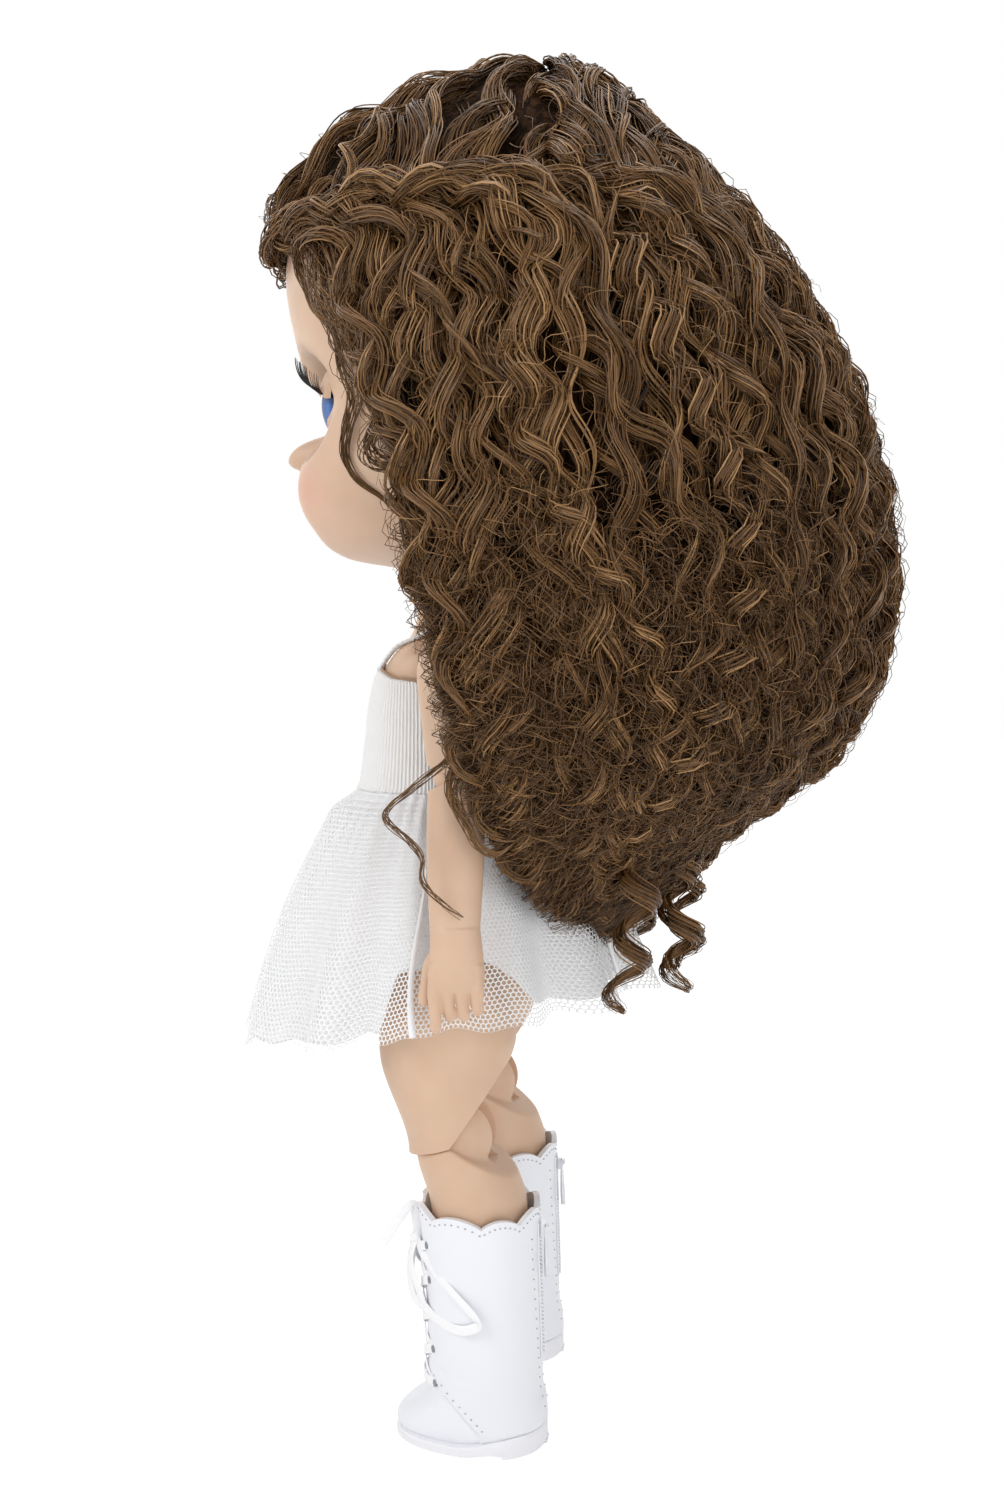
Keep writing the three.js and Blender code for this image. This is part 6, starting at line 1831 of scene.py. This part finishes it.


# What hangs below the head is left unattached, and the rest is attached to the head
def carryHair(piece, node):
    if "fall" in node or "ringlet" in node:
        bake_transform(piece)
    else:
        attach(piece, "head")
    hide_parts(node)


# Runs of fibres gathered in groups that start afresh before passing faceLimit faces
def batched(runs):
    batches, size = [[]], 0
    for run in runs:
        count, steps = run[0].shape[:2]
        faces = count * (steps - 1) * 6
        if size + faces > faceLimit:
            batches.append([])
            size = 0
        batches[-1].append(run)
        size += faces
    return batches


# Each fibre's own narrow column in the piece's chart, for the corners of all its quads
def fibreChart(first, count, steps, rows):
    cell = first + np.arange(count)
    left, low = (cell % chartColumns) / chartColumns, (cell // chartColumns) / rows
    v = np.linspace(0.02, 0.98, steps) / rows
    chart = np.zeros((count, steps - 1, 3, 4, 2))
    chart[..., 0] = left[:, None, None, None] + np.array([0.2, 0.8, 0.8, 0.2]) / chartColumns
    chart[..., 0:2, 1] = (low[:, None] + v[None, :-1])[:, :, None, None]
    chart[..., 2:4, 1] = (low[:, None] + v[None, 1:])[:, :, None, None]
    return chart.reshape(-1, 2)


def buildHairPieces(fibres, material):
    total = 0
    for node, runs in fibres.items():
        for number, batch in enumerate(batched(runs)):
            rows = math.ceil(sum(len(paths) for paths, _, _ in batch) / chartColumns)
            points, quads, tones, charts = [], [], [], []
            offset = index = 0
            for paths, radius, tone in batch:
                count, steps = paths.shape[:2]
                p, q = fibreTubes(paths, radius)
                points.append(p)
                quads.append(q + offset)
                tones.append(np.repeat(tone, steps * 3))
                charts.append(fibreChart(index, count, steps, rows))
                offset += len(p)
                index += count
                total += len(q) * 2
            name = hairPieceNames[node] + ("" if number == 0 else str(number + 1))
            piece = pieceFrom(name, np.concatenate(points), np.concatenate(quads), material, None, "hair",
                              tone=np.concatenate(tones), chartUv=np.concatenate(charts))
            carryHair(piece, node)
    print("hair triangles", total)


core = {
    "depth": [[100, 8.5], [250, 8.5], [262, 5], [300, 5]], "wall": 2.0, "points": 90, "ripples": 40,
    # these dark browns are painted shade under the locks
    "colour": (34, 22, 12), "colours": [(0.4, (22, 13, 7)), (0.72, (64, 43, 26))],
    "strands": 260, "draw": 0.12,
    "layers": {  # lowest and highest place, and the hair section it lies under
        "crownUnder": (258, 288.5, "hair_crown"), "sideUnder": (186, 258, "hair_back"),
        "fallUnder": (116, 186, "hair_fall_back"),
    },
}


# Matt dark brown, streaked along the hair: painted shade, so that what shows between the locks reads as
# deeper hair in shadow
def shadeMaterial(c):
    material, tree, shader = newMaterial("innerShade", c["colour"], 0.95, Specular_IOR_Level=0.05)
    place = addNode(tree, "TexCoord").outputs["Object"]
    drawn = (c["strands"], c["strands"], c["strands"] * c["draw"])
    stretch = addNode(tree, "Mapping", {"Vector": place, "Scale": drawn})
    grain = addNode(tree, "TexNoise", {"Vector": stretch.outputs["Vector"], "Scale": 2.5, "Distortion": 1.2})
    bump = addNode(tree, "Bump", {"Distance": 0.0006, "Height": grain.outputs["Fac"]})
    tree.links.new(bump.outputs["Normal"], shader.inputs["Normal"])
    tree.links.new(addRamp(tree, grain.outputs["Fac"], c["colours"]), shader.inputs["Base Color"])
    return material


# A dark inner layer under the locks, in the same sections, so that no light shows through; its dark brown is
# painted shade
def buildCore(c, material):
    shares = np.linspace(0.03, 1, c["points"])
    for name, (low, high, node) in c["layers"].items():
        rows = max(int((high - low) / 3), 6)
        layers = []
        for inset in (0, c["wall"]):
            grid = []
            for z in np.linspace(low, high, rows):
                depth = inset + float(np.interp(z, *np.array(c["depth"]).T))
                halves = []
                for side, part in ((1, shares), (-1, shares[::-1][1:])):
                    rippled = depth + np.sin(part * c["ripples"] + z / 5)
                    halves.append(manePoint(side, part, np.full(len(part), z), rippled))
                grid.append(np.concatenate(halves))
            layers.append(np.array(grid))
        loop = np.concatenate([layers[0], layers[1][:, ::-1]], 1)
        count = loop.shape[1]
        j = np.arange(count // 2 - 1)
        ends = np.stack([j, count - 1 - j, count - 2 - j, j + 1], -1)
        quads = np.concatenate([ringQuads(rows, count), ends, (rows - 1) * count + ends[:, [0, 3, 2, 1]]])
        points = loop.reshape(-1, 3)
        piece = pieceFrom(name, points, quads, material, None, "hair", tone=np.zeros(len(points)))
        carryHair(piece, node)


def buildHair():
    thinning = 1.0
    fibres = {}
    for layer in lockLayers.values():
        layLocks(fibres, layer, thinning)
    for layer in frizzLayers.values():
        layFrizz(fibres, layer, thinning)
    layFreeCurls(fibres, freeCurls)
    for number, strand in enumerate(looseStrands.values()):
        for side in (1, -1):
            layStrand(fibres, strand, number, side)
    buildHairPieces(fibres, hairMaterial(hair))
    buildCore(core, shadeMaterial(core))


buildHair()
print("hair is laid")


# Finishes of the solids that are shown as the frame has them

carriedFinish = {
    skinVinyl: ["back_shell"],
    # the scalp cap takes the same dark painted shade as the hair's core
    shadeMaterial(core): ["scalp_cap"],
    ivoryPlastic: ["eye_bar", "eye_frame"] + [f"{part}_{side}" for side in sideSigns for part in
                                              ("knee_pin", "elbow_pin", "hip_link", "shoulder_link")],
    brightSteel: ["torso_screw_lower", "torso_screw_upper"],
    clothMaterial("closureTape", fabrics["knit"], 1500, 0.3): ["bodice_closure"],
}


def finishCarried(finishes):
    for material, names in finishes.items():
        for name in names:
            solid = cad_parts[name]
            for slot in solid.material_slots:
                slot.material = material


finishCarried(carriedFinish)
print("carried solids are finished")


bpy.context.scene.view_settings.view_transform = "Standard"
